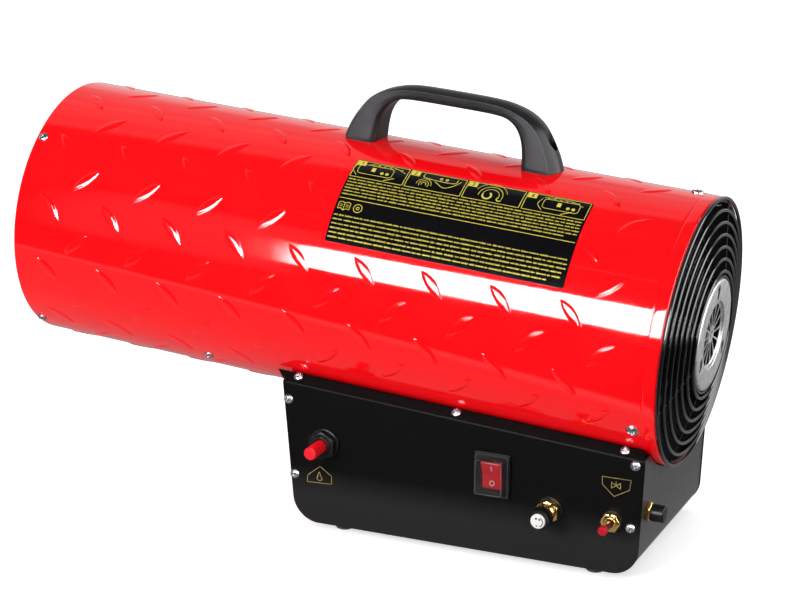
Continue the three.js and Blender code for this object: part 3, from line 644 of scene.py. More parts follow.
@dataclass(frozen=True)
class Finish:
    """One finish of the heater, made as a material when it is first used.

    Colours are linear. Sizes and depths of grain are in millimetres.
    """

    name: str
    slot: str
    colour: tuple[float, float, float]
    roughness: float
    metallic: float = 0.0
    texture: Texture = Texture.EVEN
    mottle: float = 0.12
    mottle_size: float = 14.0
    scuff: float = 0.06
    grain: float = 0.5
    grain_depth: float = 0.01
    wave_depth: float = 0.0
    specular: float = 0.5
    alpha: float = 1.0

    def material(self) -> bpy.types.Material:
        """The material, built once and then found again by its name."""
        return bpy.data.materials.get(self.name) or self.build()

    def build(self) -> bpy.types.Material:
        """Builds the nodes: a varied colour, a varied roughness and a fine grain.

        Returns:
            The new material.
        """
        sheet = NodeSheet(self.name)
        shader = sheet.node("ShaderNodeBsdfPrincipled")
        shader.inputs["Metallic"].default_value = self.metallic
        shader.inputs["Specular IOR Level"].default_value = self.specular
        shader.inputs["Alpha"].default_value = self.alpha
        pattern = self.pattern(sheet)
        tone = np.array(self.colour)
        dark, pale = tone * (1 - self.mottle), np.minimum(tone * (1 + self.mottle), 1)
        sheet.join(sheet.mixed(pattern, dark, pale), shader.inputs["Base Color"])
        wear = sheet.noise(self.mottle_size * 0.4, 4.0)
        spread = sheet.between(wear, max(self.roughness - self.scuff, 0.02), self.roughness + self.scuff)
        sheet.join(spread, shader.inputs["Roughness"])
        normal = None
        if self.wave_depth:
            normal = sheet.bump(sheet.noise(12.0, 2.0), self.wave_depth)
        if self.grain_depth:
            normal = sheet.bump(sheet.noise(self.grain, 2.0), self.grain_depth, normal)
        if normal is not None:
            sheet.join(normal, shader.inputs["Normal"])
        sheet.join(shader.outputs["BSDF"], sheet.output.inputs["Surface"])
        return sheet.material

    def pattern(self, sheet: NodeSheet) -> Socket:
        """The factor that the colour follows: cloudy, spangled like zinc, drawn out along X, or paler towards
        the floor, which is a painted sheen of the floor's light.

        Args:
            sheet: The material's nodes.

        Returns:
            The factor.
        """
        if self.texture is Texture.SPANGLED:
            cells = sheet.node("ShaderNodeTexVoronoi", Scale=1.0 / (self.mottle_size * MM), Randomness=1.0)
            sheet.join(sheet.coordinates, cells.inputs["Vector"])
            parts = sheet.node("ShaderNodeSeparateColor")
            sheet.join(cells.outputs["Color"], parts.inputs["Color"])
            return sheet.between(parts.outputs["Red"], 0.3, 0.7)
        if self.texture is Texture.DRAWN:
            return sheet.noise(0.9, 4.0, (0.05, 1.0, 1.0))
        # Painted floor sheen: the colour is paler over the lowest 85 mm.
        if self.texture is Texture.FADED:
            return sheet.step(sheet.axes()[2], 0.0, 0.085, 1.0, 0.0)
        return sheet.noise(self.mottle_size)


RED_ENAMEL = Finish(
    "red_enamel", "red_paint", (0.88, 0.0030, 0.0065), 0.075, mottle=0.03, mottle_size=60, scuff=0.02,
    grain=1.6, grain_depth=0.0008, wave_depth=0.014, specular=0.5)
# Its pale foot is painted floor sheen; the mottle sets how much paler the foot gets.
BLACK_COAT = Finish(
    "black_powder_coat", "black_paint", (0.0115, 0.0115, 0.0120), 0.40, texture=Texture.FADED,
    mottle=0.70, scuff=0.04, grain=0.7, grain_depth=0.012, wave_depth=0.01, specular=0.03)
# The panels' black powder coat, painted about three times paler for the light that the side walls catch, and
# paler again at the foot for the floor's sheen.
CHANNEL_COAT_PAINTED_LIGHT = Finish(
    "channel_powder_coat", "black_paint", (0.036, 0.036, 0.037), 0.34, texture=Texture.FADED, mottle=0.30,
    scuff=0.04, grain=0.7, grain_depth=0.012, wave_depth=0.01, specular=0.5)
# Painted shade: the motor case is nearly black so that the plate's vents look dark, as they are in the shade
# behind the plate.
MOTOR_PAINTED_SHADE = Finish("motor_enamel", "cast_metal", (0.010, 0.010, 0.011), 0.5, mottle=0.2, specular=0.15)
SPOKE_COAT = Finish("spoke_coat", "black_wire", (0.004, 0.004, 0.0045), 0.6, mottle=0.15, specular=0.08)
# A dark inner coat for the tube, nearly black, which also paints in the shade deep inside it.
LINING_PAINTED_SHADE = Finish(
    "dark_lining", "black_paint", (0.006, 0.006, 0.006), 0.6, mottle=0.2, mottle_size=20, scuff=0.05,
    grain=0.9, grain_depth=0.02, specular=0.25)
BLACK_WIRE = Finish(
    "black_wire_coat", "black_wire", (0.005, 0.005, 0.0055), 0.11, mottle=0.15, scuff=0.03, grain=1.2,
    grain_depth=0.004)
BLACK_PLASTIC = Finish(
    "black_moulding", "black_plastic", (0.008, 0.008, 0.009), 0.34, mottle=0.10, scuff=0.06, grain=0.35,
    grain_depth=0.010, specular=0.12)
HANDLE_PLASTIC = Finish(
    "handle_plastic", "black_plastic", (0.0125, 0.0120, 0.0140), 0.33, mottle=0.12, scuff=0.03,
    grain=0.45, grain_depth=0.001, specular=0.14)
GALVANISED = Finish(
    "galvanised_sheet", "galvanised", (0.37, 0.37, 0.37), 0.45, metallic=1.0, texture=Texture.SPANGLED,
    mottle=0.13, mottle_size=3.2, scuff=0.09, grain=0.6, grain_depth=0.008)
ZINC = Finish(
    "zinc_plating", "steel", (0.42, 0.43, 0.46), 0.30, metallic=1.0, mottle=0.08, mottle_size=1.2,
    scuff=0.08, grain=0.3, grain_depth=0.006)
CAST_METAL = Finish(
    "pressed_aluminium", "cast_metal", (0.48, 0.49, 0.50), 0.42, metallic=1.0, mottle=0.10, mottle_size=6,
    scuff=0.10, grain=0.7, grain_depth=0.02)
CORE_IRON = Finish(
    "sheet_iron", "core_iron", (0.17, 0.17, 0.18), 0.5, metallic=1.0, texture=Texture.DRAWN, mottle=0.35,
    scuff=0.12, grain=0.5, grain_depth=0.03)
BRASS = Finish(
    "turned_brass", "brass", (0.74, 0.48, 0.16), 0.20, metallic=1.0, mottle=0.12, mottle_size=2.5,
    scuff=0.08, grain=0.25, grain_depth=0.006)
COPPER = Finish(
    "copper_tube", "copper", (0.62, 0.30, 0.17), 0.30, metallic=1.0, mottle=0.22, mottle_size=7,
    scuff=0.10, grain=0.6, grain_depth=0.008)
STAINLESS = Finish(
    "heated_steel", "steel", (0.42, 0.40, 0.38), 0.34, metallic=1.0, mottle=0.25, mottle_size=11,
    scuff=0.10, grain=0.5, grain_depth=0.01)
IGNITION_RED = Finish(
    "ignition_red", "red_plastic", (0.76, 0.0025, 0.013), 0.42, mottle=0.06, scuff=0.05, grain=0.4,
    grain_depth=0.012, specular=0.2)
VALVE_RED = Finish(
    "valve_red", "red_plastic", (0.42, 0.002, 0.018), 0.40, mottle=0.06, scuff=0.05, grain=0.4,
    grain_depth=0.012, specular=0.12)
# The valve button's red, darkened to paint the shade along its stem.
STEM_RED_PAINTED_SHADE = Finish("stem_red", "red_plastic", (0.07, 0.0008, 0.003), 0.34, mottle=0.10, specular=0.12)
ROCKER_RED = Finish(
    "rocker_red", "red_plastic", (0.68, 0.002, 0.014), 0.24, mottle=0.08, mottle_size=5, scuff=0.04,
    grain=0.4, grain_depth=0.005)
WHITE_PLASTIC = Finish(
    "white_moulding", "white_plastic", (0.80, 0.80, 0.78), 0.38, mottle=0.04, scuff=0.05, grain=0.4,
    grain_depth=0.01)
CLEAR_PLASTIC = Finish(
    "clear_moulding", "clear_plastic", (0.05, 0.045, 0.045), 0.08, mottle=0.02, scuff=0.03, grain=1.5,
    grain_depth=0.003, alpha=0.16)
# Painted highlights: pale, half clear strips along the clear cover's edges.
PAINTED_COVER_HIGHLIGHT = Finish(
    "cover_edge", "clear_plastic", (0.13, 0.11, 0.115), 0.25, mottle=0.05, scuff=0.03, alpha=0.6)
CERAMIC = Finish("glazed_ceramic", "ceramic", (0.78, 0.76, 0.68), 0.30, mottle=0.06, mottle_size=4)
RUBBER = Finish(
    "foot_rubber", "rubber", (0.014, 0.014, 0.014), 0.72, mottle=0.15, grain=0.6, grain_depth=0.03)
LABEL_FILM = Finish(
    "label_film", "label", (0.0040, 0.0036, 0.0046), 0.10, mottle=0.10, mottle_size=25, scuff=0.03,
    grain=1.2, grain_depth=0.002, wave_depth=0.012, specular=0.3)
LABEL_INK = Finish("label_ink", "label", (0.62, 0.54, 0.055), 0.34, mottle=0.14, mottle_size=3)
GOLD_INK = Finish("gold_ink", "label", (0.42, 0.33, 0.09), 0.34, metallic=0.4, mottle=0.15, mottle_size=2)
PALE_INK = Finish("pale_ink", "white_plastic", (0.62, 0.50, 0.50), 0.4, mottle=0.06)
DARK_INK = Finish("dark_ink", "black_plastic", (0.03, 0.03, 0.035), 0.4, mottle=0.10)
CABLE = Finish("lead_sleeve", "cable", (0.03, 0.03, 0.032), 0.5, mottle=0.12, grain=0.5, grain_depth=0.02)


# ---------------------------------------------------------------- pieces
@dataclass
class Piece:
    """One object of the visual model, with its finish and the body that it rides on."""

    thing: Object
    finish: Finish
    body: str
    stands_for: tuple[str, ...]


def mesh_object(name: str, shape: Shape, place: Place) -> Object:
    """Makes a closed mesh whose place is in its points, with faces that look outwards.

    Args:
        name: The object's name.
        shape: Its shape.
        place: Where it stands.

    Returns:
        The object, at the origin.
    """
    mesh = bpy.data.meshes.new(name)
    faces = [corners for faces in shape.faces for corners in faces.tolist()]
    mesh.from_pydata(place.put(shape.points).tolist(), [], faces)
    work = bmesh.new()
    work.from_mesh(mesh)
    bmesh.ops.remove_doubles(work, verts=work.verts, dist=2e-6)
    bmesh.ops.dissolve_degenerate(work, edges=work.edges, dist=1e-7)
    bmesh.ops.recalc_face_normals(work, faces=work.faces)
    work.to_mesh(mesh)
    work.free()
    thing = bpy.data.objects.new(name, mesh)
    bpy.context.scene.collection.objects.link(thing)
    return thing


def applied(thing: Object) -> Object:
    """Works the modifiers into the mesh."""
    bpy.context.view_layer.update()
    graph = bpy.context.evaluated_depsgraph_get()
    finished = bpy.data.meshes.new_from_object(thing.evaluated_get(graph))
    thing.modifiers.clear()
    thing.data = finished
    return thing


def carved(thing: Object, cutters: Sequence[tuple[Shape, Place]]) -> Object:
    """Cuts shapes out of a piece.

    Args:
        thing: The piece.
        cutters: Each shape to take away, and its place.

    Returns:
        The piece.
    """
    for number, (shape, place) in enumerate(cutters):
        tool = mesh_object(f"{thing.name}_cutter_{number}", shape, place)
        cut = thing.modifiers.new(f"cut_{number}", "BOOLEAN")
        cut.object = tool
        cut.operation = "DIFFERENCE"
        cut.solver = "EXACT"
    applied(thing)
    for tool in [o for o in bpy.data.objects if o.name.startswith(f"{thing.name}_cutter_")]:
        bpy.data.objects.remove(tool)
    return thing


def bevelled(thing: Object, width: float, segments: int = 3, angle: float = 40.0) -> Object:
    """Rounds a piece's sharp edges over.

    Args:
        thing: The piece.
        width: Width of the rounding, in millimetres.
        segments: Faces across it.
        angle: The flattest edge that is rounded, in degrees.

    Returns:
        The piece.
    """
    bevel = thing.modifiers.new("edges", "BEVEL")
    bevel.width = width * MM
    bevel.segments = segments
    bevel.limit_method = "ANGLE"
    bevel.angle_limit = math.radians(angle)
    bevel.use_clamp_overlap = True
    return applied(thing)


@dataclass
class SubAssembly:
    """A part of the heater: it builds its pieces, and then dresses them."""

    pieces: list[Piece] = field(default_factory=list, init=False)

    def keep(
        self, thing: Object, finish: Finish, *nodes: str, body: str = "heater", smooth: float = 35.0
    ) -> None:
        """Adds a finished object to the pieces, shaded smooth up to an angle.

        Args:
            thing: The object.
            finish: Its finish.
            nodes: The CAD nodes that it replaces.
            body: The body that it rides on.
            smooth: The steepest smooth fold, in degrees.
        """
        thing.data.shade_smooth()
        thing.data.set_sharp_from_angle(angle=math.radians(smooth))
        self.pieces.append(Piece(thing, finish, body, nodes))

    def add(
        self, name: str, shape: Shape, place: Place, finish: Finish, *nodes: str, **options: object
    ) -> None:
        """Makes an object from a shape and keeps it."""
        self.keep(mesh_object(name, shape, place), finish, *nodes, **options)

    def build(self) -> None:
        """Builds the pieces."""
        raise NotImplementedError

    def dress(self) -> None:
        """Gives each piece its material and its body, and hides the CAD nodes that it stands for."""
        for piece in self.pieces:
            piece.thing.data.materials.clear()
            piece.thing.data.materials.append(piece.finish.material())
            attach(piece.thing, piece.body)
            if piece.stands_for:
                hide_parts(*piece.stands_for)
            LOG.info("%s: %d faces, on %s", piece.thing.name, len(piece.thing.data.polygons), piece.body)


def dress_nodes(finishes: dict[Finish, Sequence[str]]) -> None:
    """Gives CAD nodes that stay in view their materials.

    Args:
        finishes: For each finish, the nodes that have it.
    """
    for finish, names in finishes.items():
        for name in names:
            thing = frame["nodes"][name]
            thing.data.materials.clear()
            thing.data.materials.append(finish.material())
            LOG.info("%s: CAD node, %s", name, finish.name)


# ---------------------------------------------------------------- the tube's ribs
@dataclass(frozen=True)
class RibField:
    """The pressed ribs of the tube: rows around it that lean by turns to either side.

    A rib is a leaf with a flat crown and steep flanks. With t from 0 to 1 along it and b across
    it from its bowed middle line, it stands H f((w - |b|) / F) high, where w = W sin(pi t)^0.7,
    F is the width of a flank and f(x) = x^2 (3 - 2x) for x between 0 and 1. Along the tube's
    back line the ribs are lower, by a share that falls off as the 40th power of the cosine.
    """

    row_step: float = 14.4
    first_row: int = -6
    rows: int = 25
    row_zero: float = 0.3
    rise_start: float = 60.5
    rise_pitch: float = 58.0
    fall_start: float = 31.7
    fall_pitch: float = 58.1
    last: float = 538.0
    length: float = 29.5
    width: float = 4.5
    flank: float = 2.4
    height: float = 0.78
    back_share: float = 0.42
    bow: float = 0.7
    lean: float = math.radians(44)
    through_film: float = 0.02

    def centres(self) -> tuple[Array, Array, Array]:
        """Where the ribs are.

        Returns:
            Distance along the tube, angle in degrees, and +1 or -1 for the way each leans.
        """
        row = np.repeat(np.arange(self.first_row, self.first_row + self.rows), 10)
        step = np.tile(np.arange(10), self.rows)
        even = row % 2 == 0
        start = np.where(even, self.rise_start, self.fall_start)
        along = start + np.where(even, self.rise_pitch, self.fall_pitch) * step
        angle, way = self.row_zero + self.row_step * row, np.where(even, 1.0, -1.0)
        inside = along < self.last
        return along[inside] - HALF_TUBE, angle[inside], way[inside]

    def half_width(self, t: Array) -> Array:
        """Half of the width at a share t of the length."""
        return self.width * np.maximum(np.sin(math.pi * np.clip(t, 0, 1)), 1e-4) ** 0.7

    def section(self, t: Array, across: Array) -> Array:
        """Height over the tube at a share t of the length, and across in millimetres."""
        share = np.clip((self.half_width(t) - abs(across)) / self.flank, 0, 1)
        return self.height * share**2 * (3 - 2 * share)

    def height_at(self, along: Array, degrees: Array, film: Region) -> Array:
        """Height of the pressed surface, as a film laid over it would have.

        Args:
            along: Distances along the tube from its middle.
            degrees: Angles around the tube.
            film: Where the film lies.

        Returns:
            The greatest height that any rib has there, less for the ribs that the film bridges.
        """
        total = np.zeros(np.broadcast(along, degrees).shape)
        covered = self.covered(film)
        for centre, angle, way, bridged in zip(*self.centres(), covered):
            if np.min(abs(degrees - angle)) > 9 or np.min(abs(along - centre)) > self.length / 2 + 1:
                continue
            x = (along - centre) * way
            y = np.radians(degrees - angle) * TUBE_RADIUS
            t = (x * math.cos(self.lean) + y * math.sin(self.lean)) / self.length + 0.5
            b = y * math.cos(self.lean) - x * math.sin(self.lean) - self.middle_line(t)
            shown = self.through_film if bridged else 1.0
            total = np.maximum(total, np.where((t > 0) & (t < 1), shown * self.section(t, b), 0))
        return total

    def middle_line(self, t: Array) -> Array:
        """How far the leaf's middle line bows to its side: B (1 - (2t - 1)^2)."""
        return self.bow * (1 - (2 * t - 1) ** 2)

    def covered(self, region: Region) -> Array:
        """Which ribs lie wholly within a region.

        Args:
            region: The region.

        Returns:
            True for each rib that does.
        """
        along, angle, _ = self.centres()
        low, high, start, end = region
        room, turn = 8.5, 4.2
        across = (along > low + room) & (along < high - room)
        return across & (angle > start + turn) & (angle < end - turn)

    def shape(self, hidden: Sequence[Region]) -> Shape:
        """All the ribs that show, each a closed lens sunk into the sheet.

        Args:
            hidden: Regions without ribs.

        Returns:
            The ribs as one shape, in the tube's frame.
        """
        along, angle, way = self.centres()
        keep = ~np.any([self.covered(region) for region in hidden], axis=0)
        t = (1 - np.cos(np.linspace(0, math.pi, 21)[:, None])) / 2
        width = self.half_width(t)
        across = np.sin(np.linspace(-1, 1, 11) * TURN / 4)[None, :] * width
        a = (t - 0.5) * self.length + 0 * across
        b = across + self.middle_line(t)
        rise = self.section(t, across) + 0.004
        ribs = []
        for centre, degrees, lean in zip(along[keep], angle[keep], way[keep]):
            x = centre + lean * (a * math.cos(self.lean) - b * math.sin(self.lean))
            turn = math.radians(degrees) + (a * math.sin(self.lean) + b * math.cos(self.lean)) / TUBE_RADIUS
            lower = 1 - self.back_share * np.maximum(-np.cos(turn), 0) ** 40
            sides = []
            for radius in (TUBE_RADIUS + rise * lower, TUBE_RADIUS - 0.45 + 0 * rise):
                sides.append(np.stack([x, -radius * np.cos(turn), radius * np.sin(turn)], -1))
            ribs.append(closed_lens(*sides))
        return joined(ribs)


def closed_lens(top: Array, bottom: Array) -> Shape:
    """Two grids of the same size, joined around their borders.

    Args:
        top: The upper grid of points.
        bottom: The lower grid of points.

    Returns:
        The closed shape.
    """
    rows, columns = top.shape[:2]
    upper, lower = surface(top), surface(bottom)
    index = np.arange(rows * columns).reshape(rows, columns)
    border = np.concatenate([index[0, :], index[1:, -1], index[-1, -2::-1], index[-2:0:-1, 0]])
    after = np.roll(border, -1)
    shift = rows * columns
    rim = np.stack([border, border + shift, after + shift, after], -1)
    faces = [upper.faces[0][:, ::-1], lower.faces[0] + shift, rim]
    return Shape(np.vstack([upper.points, lower.points]), faces)


RIBS = RibField()
FILM_REGION = (-2.0, 201.0, 24.3, 66.2)


# ---------------------------------------------------------------- tube
@dataclass
class Tube(SubAssembly):
    """The enamelled tube with its ribs, its rolled ends and its screws."""

    sheet: float = 1.2
    hem: float = 4.0
    lead_hole: float = 45.0
    motor_lead_hole: float = 250.0
    outlet_screws: tuple[float, ...] = (45.3, -50.7, 134.7, 230.7)
    outlet_screw_at: float = 6.5
    inlet_screws: tuple[float, ...] = (97.7, -32.3, 227.7)
    inlet_screw_at: float = 552.2
    under_screws: tuple[float, ...] = (-50.3, 230.3)
    under_screw_at: float = 171.3
    screw_radius: float = 4.0
    guard_screw_radius: float = 5.3
    crease_at: float = 10.5

    def skin(self) -> Shape:
        """The sheet, as a ring profile turned about the axis with its ends rolled in.

        A fine crease runs round it near the inlet, where the end is drawn in.

        Returns:
            The ring.
        """
        half, outer = HALF_TUBE, TUBE_RADIUS
        inner, lip, crease = outer - self.sheet, outer - self.hem, half - self.crease_at
        corners = [
            [-half, lip], [-half, outer], [crease - 0.9, outer], [crease, outer - 0.28],
            [crease + 0.9, outer - 0.05], [half, outer - 0.05], [half, lip],
            [half - self.sheet, lip], [half - self.sheet, inner],
            [-half + self.sheet, inner], [-half + self.sheet, lip],
        ]
        reach = [0.5, 2.2, 0.5, 0.3, 0.5, 2.2, 0.5, 0.5, 1.2, 1.2, 0.5]
        return lathe(softened(corners, reach, 6, closed=True), 288, ring=True)

    def build(self) -> None:
        """Builds the skin, the ribs and the screws around both ends."""
        skin = mesh_object("tube_skin", self.skin(), TUBE)
        under = TUBE.facing(DOWNWARD)
        drill = [(self.lead_hole, 15.0), (self.motor_lead_hole, 5.0)]
        cutters = [(rod(radius, 80, 130, 0.1), under.at(z=x)) for x, radius in drill]
        self.keep(carved(skin, cutters), RED_ENAMEL, "outer_shell")
        inside_base = (-60, HALF_TUBE + 20, -143, -38)
        also_inside = (-60, HALF_TUBE + 20, 217, 323)
        ribs = RIBS.shape([inside_base, also_inside, FILM_REGION])
        self.add("tube_ribs", ribs, TUBE, RED_ENAMEL, smooth=60)
        inner = TUBE_RADIUS - self.sheet - 0.05
        half, lip = HALF_TUBE, TUBE_RADIUS - self.hem
        # A dark sleeve over the inside of the tube: its dark inner coat together with painted shade.
        lining = turned([
            [1.6 - half, inner], [half - 1.25, inner], [half - 1.25, lip - 0.05], [half + 0.02, lip - 0.05],
            [half + 0.02, lip + 1.3], [half + 0.2, lip + 1.3], [half + 0.2, lip - 0.4],
            [half - 1.65, lip - 0.4], [half - 1.65, inner - 0.4], [1.6 - half, inner - 0.4]],
            0.03, 192, ring=True)
        self.keep(carved(mesh_object("tube_lining", lining, TUBE), cutters), LINING_PAINTED_SHADE)
        self.ring_of_screws("outlet_screw", self.outlet_screw_at, self.outlet_screws, self.screw_radius)
        self.ring_of_screws("inlet_screw", self.inlet_screw_at, self.inlet_screws, self.guard_screw_radius)
        self.ring_of_screws("under_screw", self.under_screw_at, self.under_screws, self.screw_radius)

    def ring_of_screws(self, name: str, along: float, angles: Sequence[float], radius: float) -> None:
        """Puts a screw on the tube at each angle.

        Args:
            name: Start of the pieces' names.
            along: Distance from the hot end.
            angles: Degrees around the tube.
            radius: Radius of the heads.
        """
        for number, degrees in enumerate(angles, 1):
            place = on_tube(along - HALF_TUBE, degrees, TUBE_RADIUS - 0.15)
            head = pan_screw(radius, 0.55 * radius, turn=37.0 * number)
            self.add(f"{name}_{number}", head, place, ZINC)


@dataclass
class Label(SubAssembly):
    """The printed film on the tube, which follows the ribs under it.

    Its print is drawn in millimetres across from its left edge and down from its top, and
    laid on the tube: across becomes distance along the axis, and down becomes angle.
    """

    start: float = FILM_REGION[0]
    width: float = FILM_REGION[1] - FILM_REGION[0]
    low: float = FILM_REGION[2]
    high: float = FILM_REGION[3]
    film: float = 0.25
    box_height: float = 20.0
    ink: float = 0.035
    ink_sunk: float = 0.12

    @property
    def height(self) -> float:
        """How far the film reaches around the tube."""
        return math.radians(self.high - self.low) * TUBE_RADIUS

    def laid(self, across: Array, down: Array, above: float | Array) -> Array:
        """Lays points of the print on the tube.

        Args:
            across: Millimetres from the film's left edge.
            down: Millimetres from its top edge.
            above: Height over the bare tube.

        Returns:
            Points in the tube's frame.
        """
        along = self.start + across
        degrees = self.high - np.degrees(down / TUBE_RADIUS)
        radius = TUBE_RADIUS + above + RIBS.height_at(along, degrees, FILM_REGION)
        angle = np.radians(degrees)
        return np.stack([along, -radius * np.cos(angle), radius * np.sin(angle)], -1)

    def film_shape(self) -> Shape:
        """The film: a grid drawn in at its four corners, over its own underside."""
        u = np.linspace(0, 1, 206)[None, :]
        v = np.linspace(0, 1, 84)[:, None]
        corner = 1.4
        near_end = np.maximum(0, corner - np.minimum(u, 1 - u) * self.width) / corner
        pulled = corner * (1 - np.sqrt(1 - near_end**2))
        across = u * self.width + 0 * v
        down = pulled + v * (self.height - 2 * pulled)
        return closed_lens(self.laid(across, down, self.film), self.laid(across, down, -0.1))

    def printed(self, strokes: Sequence[Shape]) -> Shape:
        """Lays flat strokes, drawn with Y across and Z down, on the film.

        Args:
            strokes: Strokes whose X is their height over the film.

        Returns:
            The print in the tube's frame.
        """
        whole = joined(strokes)
        above, across, down = whole.points.T
        return Shape(self.laid(across, down, self.film + above), whole.faces)

    def stroke(self, points: Rows, width: float = 0.55) -> Shape:
        """One stroke of ink along points given as across and down."""
        return ribbon(dense(points), width, -self.ink_sunk, self.ink)

    def ring(self, across: float, down: float, radius: float, width: float, count: int = 16) -> Shape:
        """A round stroke of ink."""
        return self.stroke(arc(across, down, radius, 0, 360, count), width)

    def rows_of_print(self, first: float, pitch: float, rows: int, rng: np.random.Generator) -> list[Shape]:
        """Rows of plain marks, of the grey of small print but with nothing to read.

        Args:
            first: Distance of the first row from the top.
            pitch: Distance between rows.
            rows: How many.
            rng: Draws the marks' sizes.

        Returns:
            Their strokes.
        """
        shapes = []
        for row in range(rows):
            down = first + row * pitch
            edge, end = 1.5, self.width - (2.0 if row < rows - 1 else 12.0)
            while edge < end - 3:
                length = min(rng.uniform(2.2, 8.5), end - edge)
                shapes.append(self.stroke([[edge, down], [edge + length, down]], 0.36))
                marks = np.arange(edge + 0.3, edge + length, 1.15)
                tall = rng.uniform(0.4, 0.95, len(marks))
                for mark, rise in zip(marks, tall):
                    line = np.array([[mark, down - rise], [mark, down + rise * 0.8]])
                    shapes.append(ribbon(line, 0.48, -self.ink_sunk, self.ink))
                edge += length + rng.uniform(0.8, 1.4)
        return shapes

    def frames(self) -> list[Shape]:
        """The four boxes along the top, each with a numbered tile, and the line under the first text."""
        edges = [(0.9, 46.6), (48.6, 96.4), (98.4, 146.8), (149.0, self.width - 1.6)]
        shapes = []
        for number, (left, right) in enumerate(edges, 1):
            loop = [[left, 0.9], [right, 0.9], [right, self.box_height], [left, self.box_height], [left, 0.9]]
            shapes.append(self.stroke(loop))
            shapes.append(self.stroke([[left + 4.3, 1.0], [left + 4.3, 6.6]], 7.6))
            shapes += self.picture(number, left, right)
        shapes.append(self.stroke([[0.9, 42.2], [self.width - 1.4, 42.2]]))
        return shapes

    def picture(self, number: int, left: float, right: float) -> list[Shape]:
        """A plain line drawing in one box: a front plate with its controls, or rings and a pipe.

        Args:
            number: The box, from 1 to 4.
            left: Its left edge.
            right: Its right edge.

        Returns:
            The drawing.
        """
        middle = (left + right) / 2
        if number in (1, 4):
            shift = -4.0 if number == 1 else 4.0
            plate = rounded_loop(30, 10.5, 3.0) + np.array([middle + shift, 10.0])
            shapes = [self.stroke(np.vstack([plate, plate[:1]]), 0.5)]
            shapes.append(self.stroke([[middle + shift - 2, 7.0], [middle + shift - 2, 11.5]], 3.2))
            for step in (6.0, 10.5):
                shapes.append(self.ring(middle + shift + step, 11.5, 0.9, 1.2))
            shapes.append(self.stroke([[middle + 14, 14.5], [middle + 6, 19.0]], 0.7))
            edge = [[middle - 12, 3.6], [middle, 2.2], [middle + 12, 3.0], [middle + 21, 7.0]]
            hose = [[middle + shift - 17, 5.0], [middle + shift - 19, 12.0], [middle + shift - 14, 18.0]]
            shapes += [self.stroke(smooth_path(path), 0.45) for path in (edge, hose)]
            for at in range(-9, 19, 5):
                shapes.append(self.stroke([[middle + at, 4.4], [middle + at + 1.4, 3.2]], 0.6))
            return shapes
        if number == 2:
            plate = [[middle - 12, 2.0], [middle - 10, 7.0], [middle + 14, 8.0], [middle + 17, 3.0]]
            shapes = [self.stroke(smooth_path(plate), 0.6)]
            shapes += [self.stroke(arc(middle - 9, 14.5, r, 150, 390), 0.5) for r in (2.0, 4.0)]
            shapes += [self.ring(middle + step, 5.2, 0.9, 0.8) for step in (3.0, 8.0)]
            shapes.append(self.stroke(arc(middle - 9, 14.5, 6.2, 175, 365), 0.4))
            hose = [[middle - 1, 9.5], [middle + 8, 14.5], [middle + 15, 11.0], [middle + 20, 4.5]]
            return shapes + [self.stroke(smooth_path(hose), 0.6)]
        rings = [self.stroke(arc(middle - 2, 13.0, r, 170, 372), 0.5) for r in (7.0, 10.0)]
        knob = self.stroke(arc(middle - 5, 13.5, 3.6, -60, 200), 1.5)
        rings.append(self.stroke(arc(middle - 2, 13.0, 13.5, 200, 340), 0.4))
        return rings + [knob, self.stroke(arc(middle + 6, 15.5, 2.0, 20, 250), 0.9)]

    def build(self) -> None:
        """Builds the film, its print and the tiles' numbers."""
        self.add("label_film", self.film_shape(), TUBE, LABEL_FILM, "instruction_label", smooth=50)
        rng = np.random.default_rng(7)
        text = self.rows_of_print(23.0, 3.05, 6, rng) + self.rows_of_print(57.6, 3.75, 6, rng)
        self.add("label_print", self.printed(self.frames() + self.book() + text), TUBE, LABEL_INK)
        self.add("label_numbers", self.printed(self.numbers()), TUBE, LABEL_FILM)

    def book(self) -> list[Shape]:
        """An open book in outline and a ring, between the two blocks of print."""
        spine, top, foot = 7.5, 45.5, 53.0
        shapes = [self.stroke([[spine, top + 1], [spine, foot]], 0.45)]
        for way in (-1, 1):
            page = [[spine, top + 1], [spine + 2.5 * way, top], [spine + 5 * way, top + 0.8],
                    [spine + 5 * way, foot - 1], [spine + 2.5 * way, foot - 1.6], [spine, foot]]
            shapes.append(self.stroke(page, 0.5))
            for down in (top + 2.6, top + 4.2):
                shapes.append(self.stroke([[spine + 1.3 * way, down], [spine + 3.9 * way, down]], 0.4))
        return shapes + [self.ring(19.5, 49.3, 3.6, 0.5, 40), self.ring(19.5, 49.3, 1.2, 0.5, 20)]

    def numbers(self) -> list[Shape]:
        """The figures 1 to 4, as dark strokes on the four tiles."""
        figures = [
            [[[0.2, -1.2], [0.9, -1.9], [0.9, 1.9]]],
            [[[-0.9, -1.2], [0, -1.9], [0.9, -1.1], [-0.9, 1.8], [1.0, 1.8]]],
            [[[-0.9, -1.8], [0.9, -1.8], [0, -0.3], [1.0, 0.8], [0, 1.8], [-0.9, 1.4]]],
            [[[0.6, 1.9], [0.6, -1.9], [-1.0, 0.7], [1.2, 0.7]]],
        ]
        lefts = (0.9, 48.6, 98.4, 149.0)
        shapes = []
        for left, lines in zip(lefts, figures):
            for line in lines:
                path = dense(np.array(line) + np.array([left + 4.3, 3.8]), 0.6)
                shapes.append(ribbon(path, 0.6, -0.05, 0.08))
        return shapes


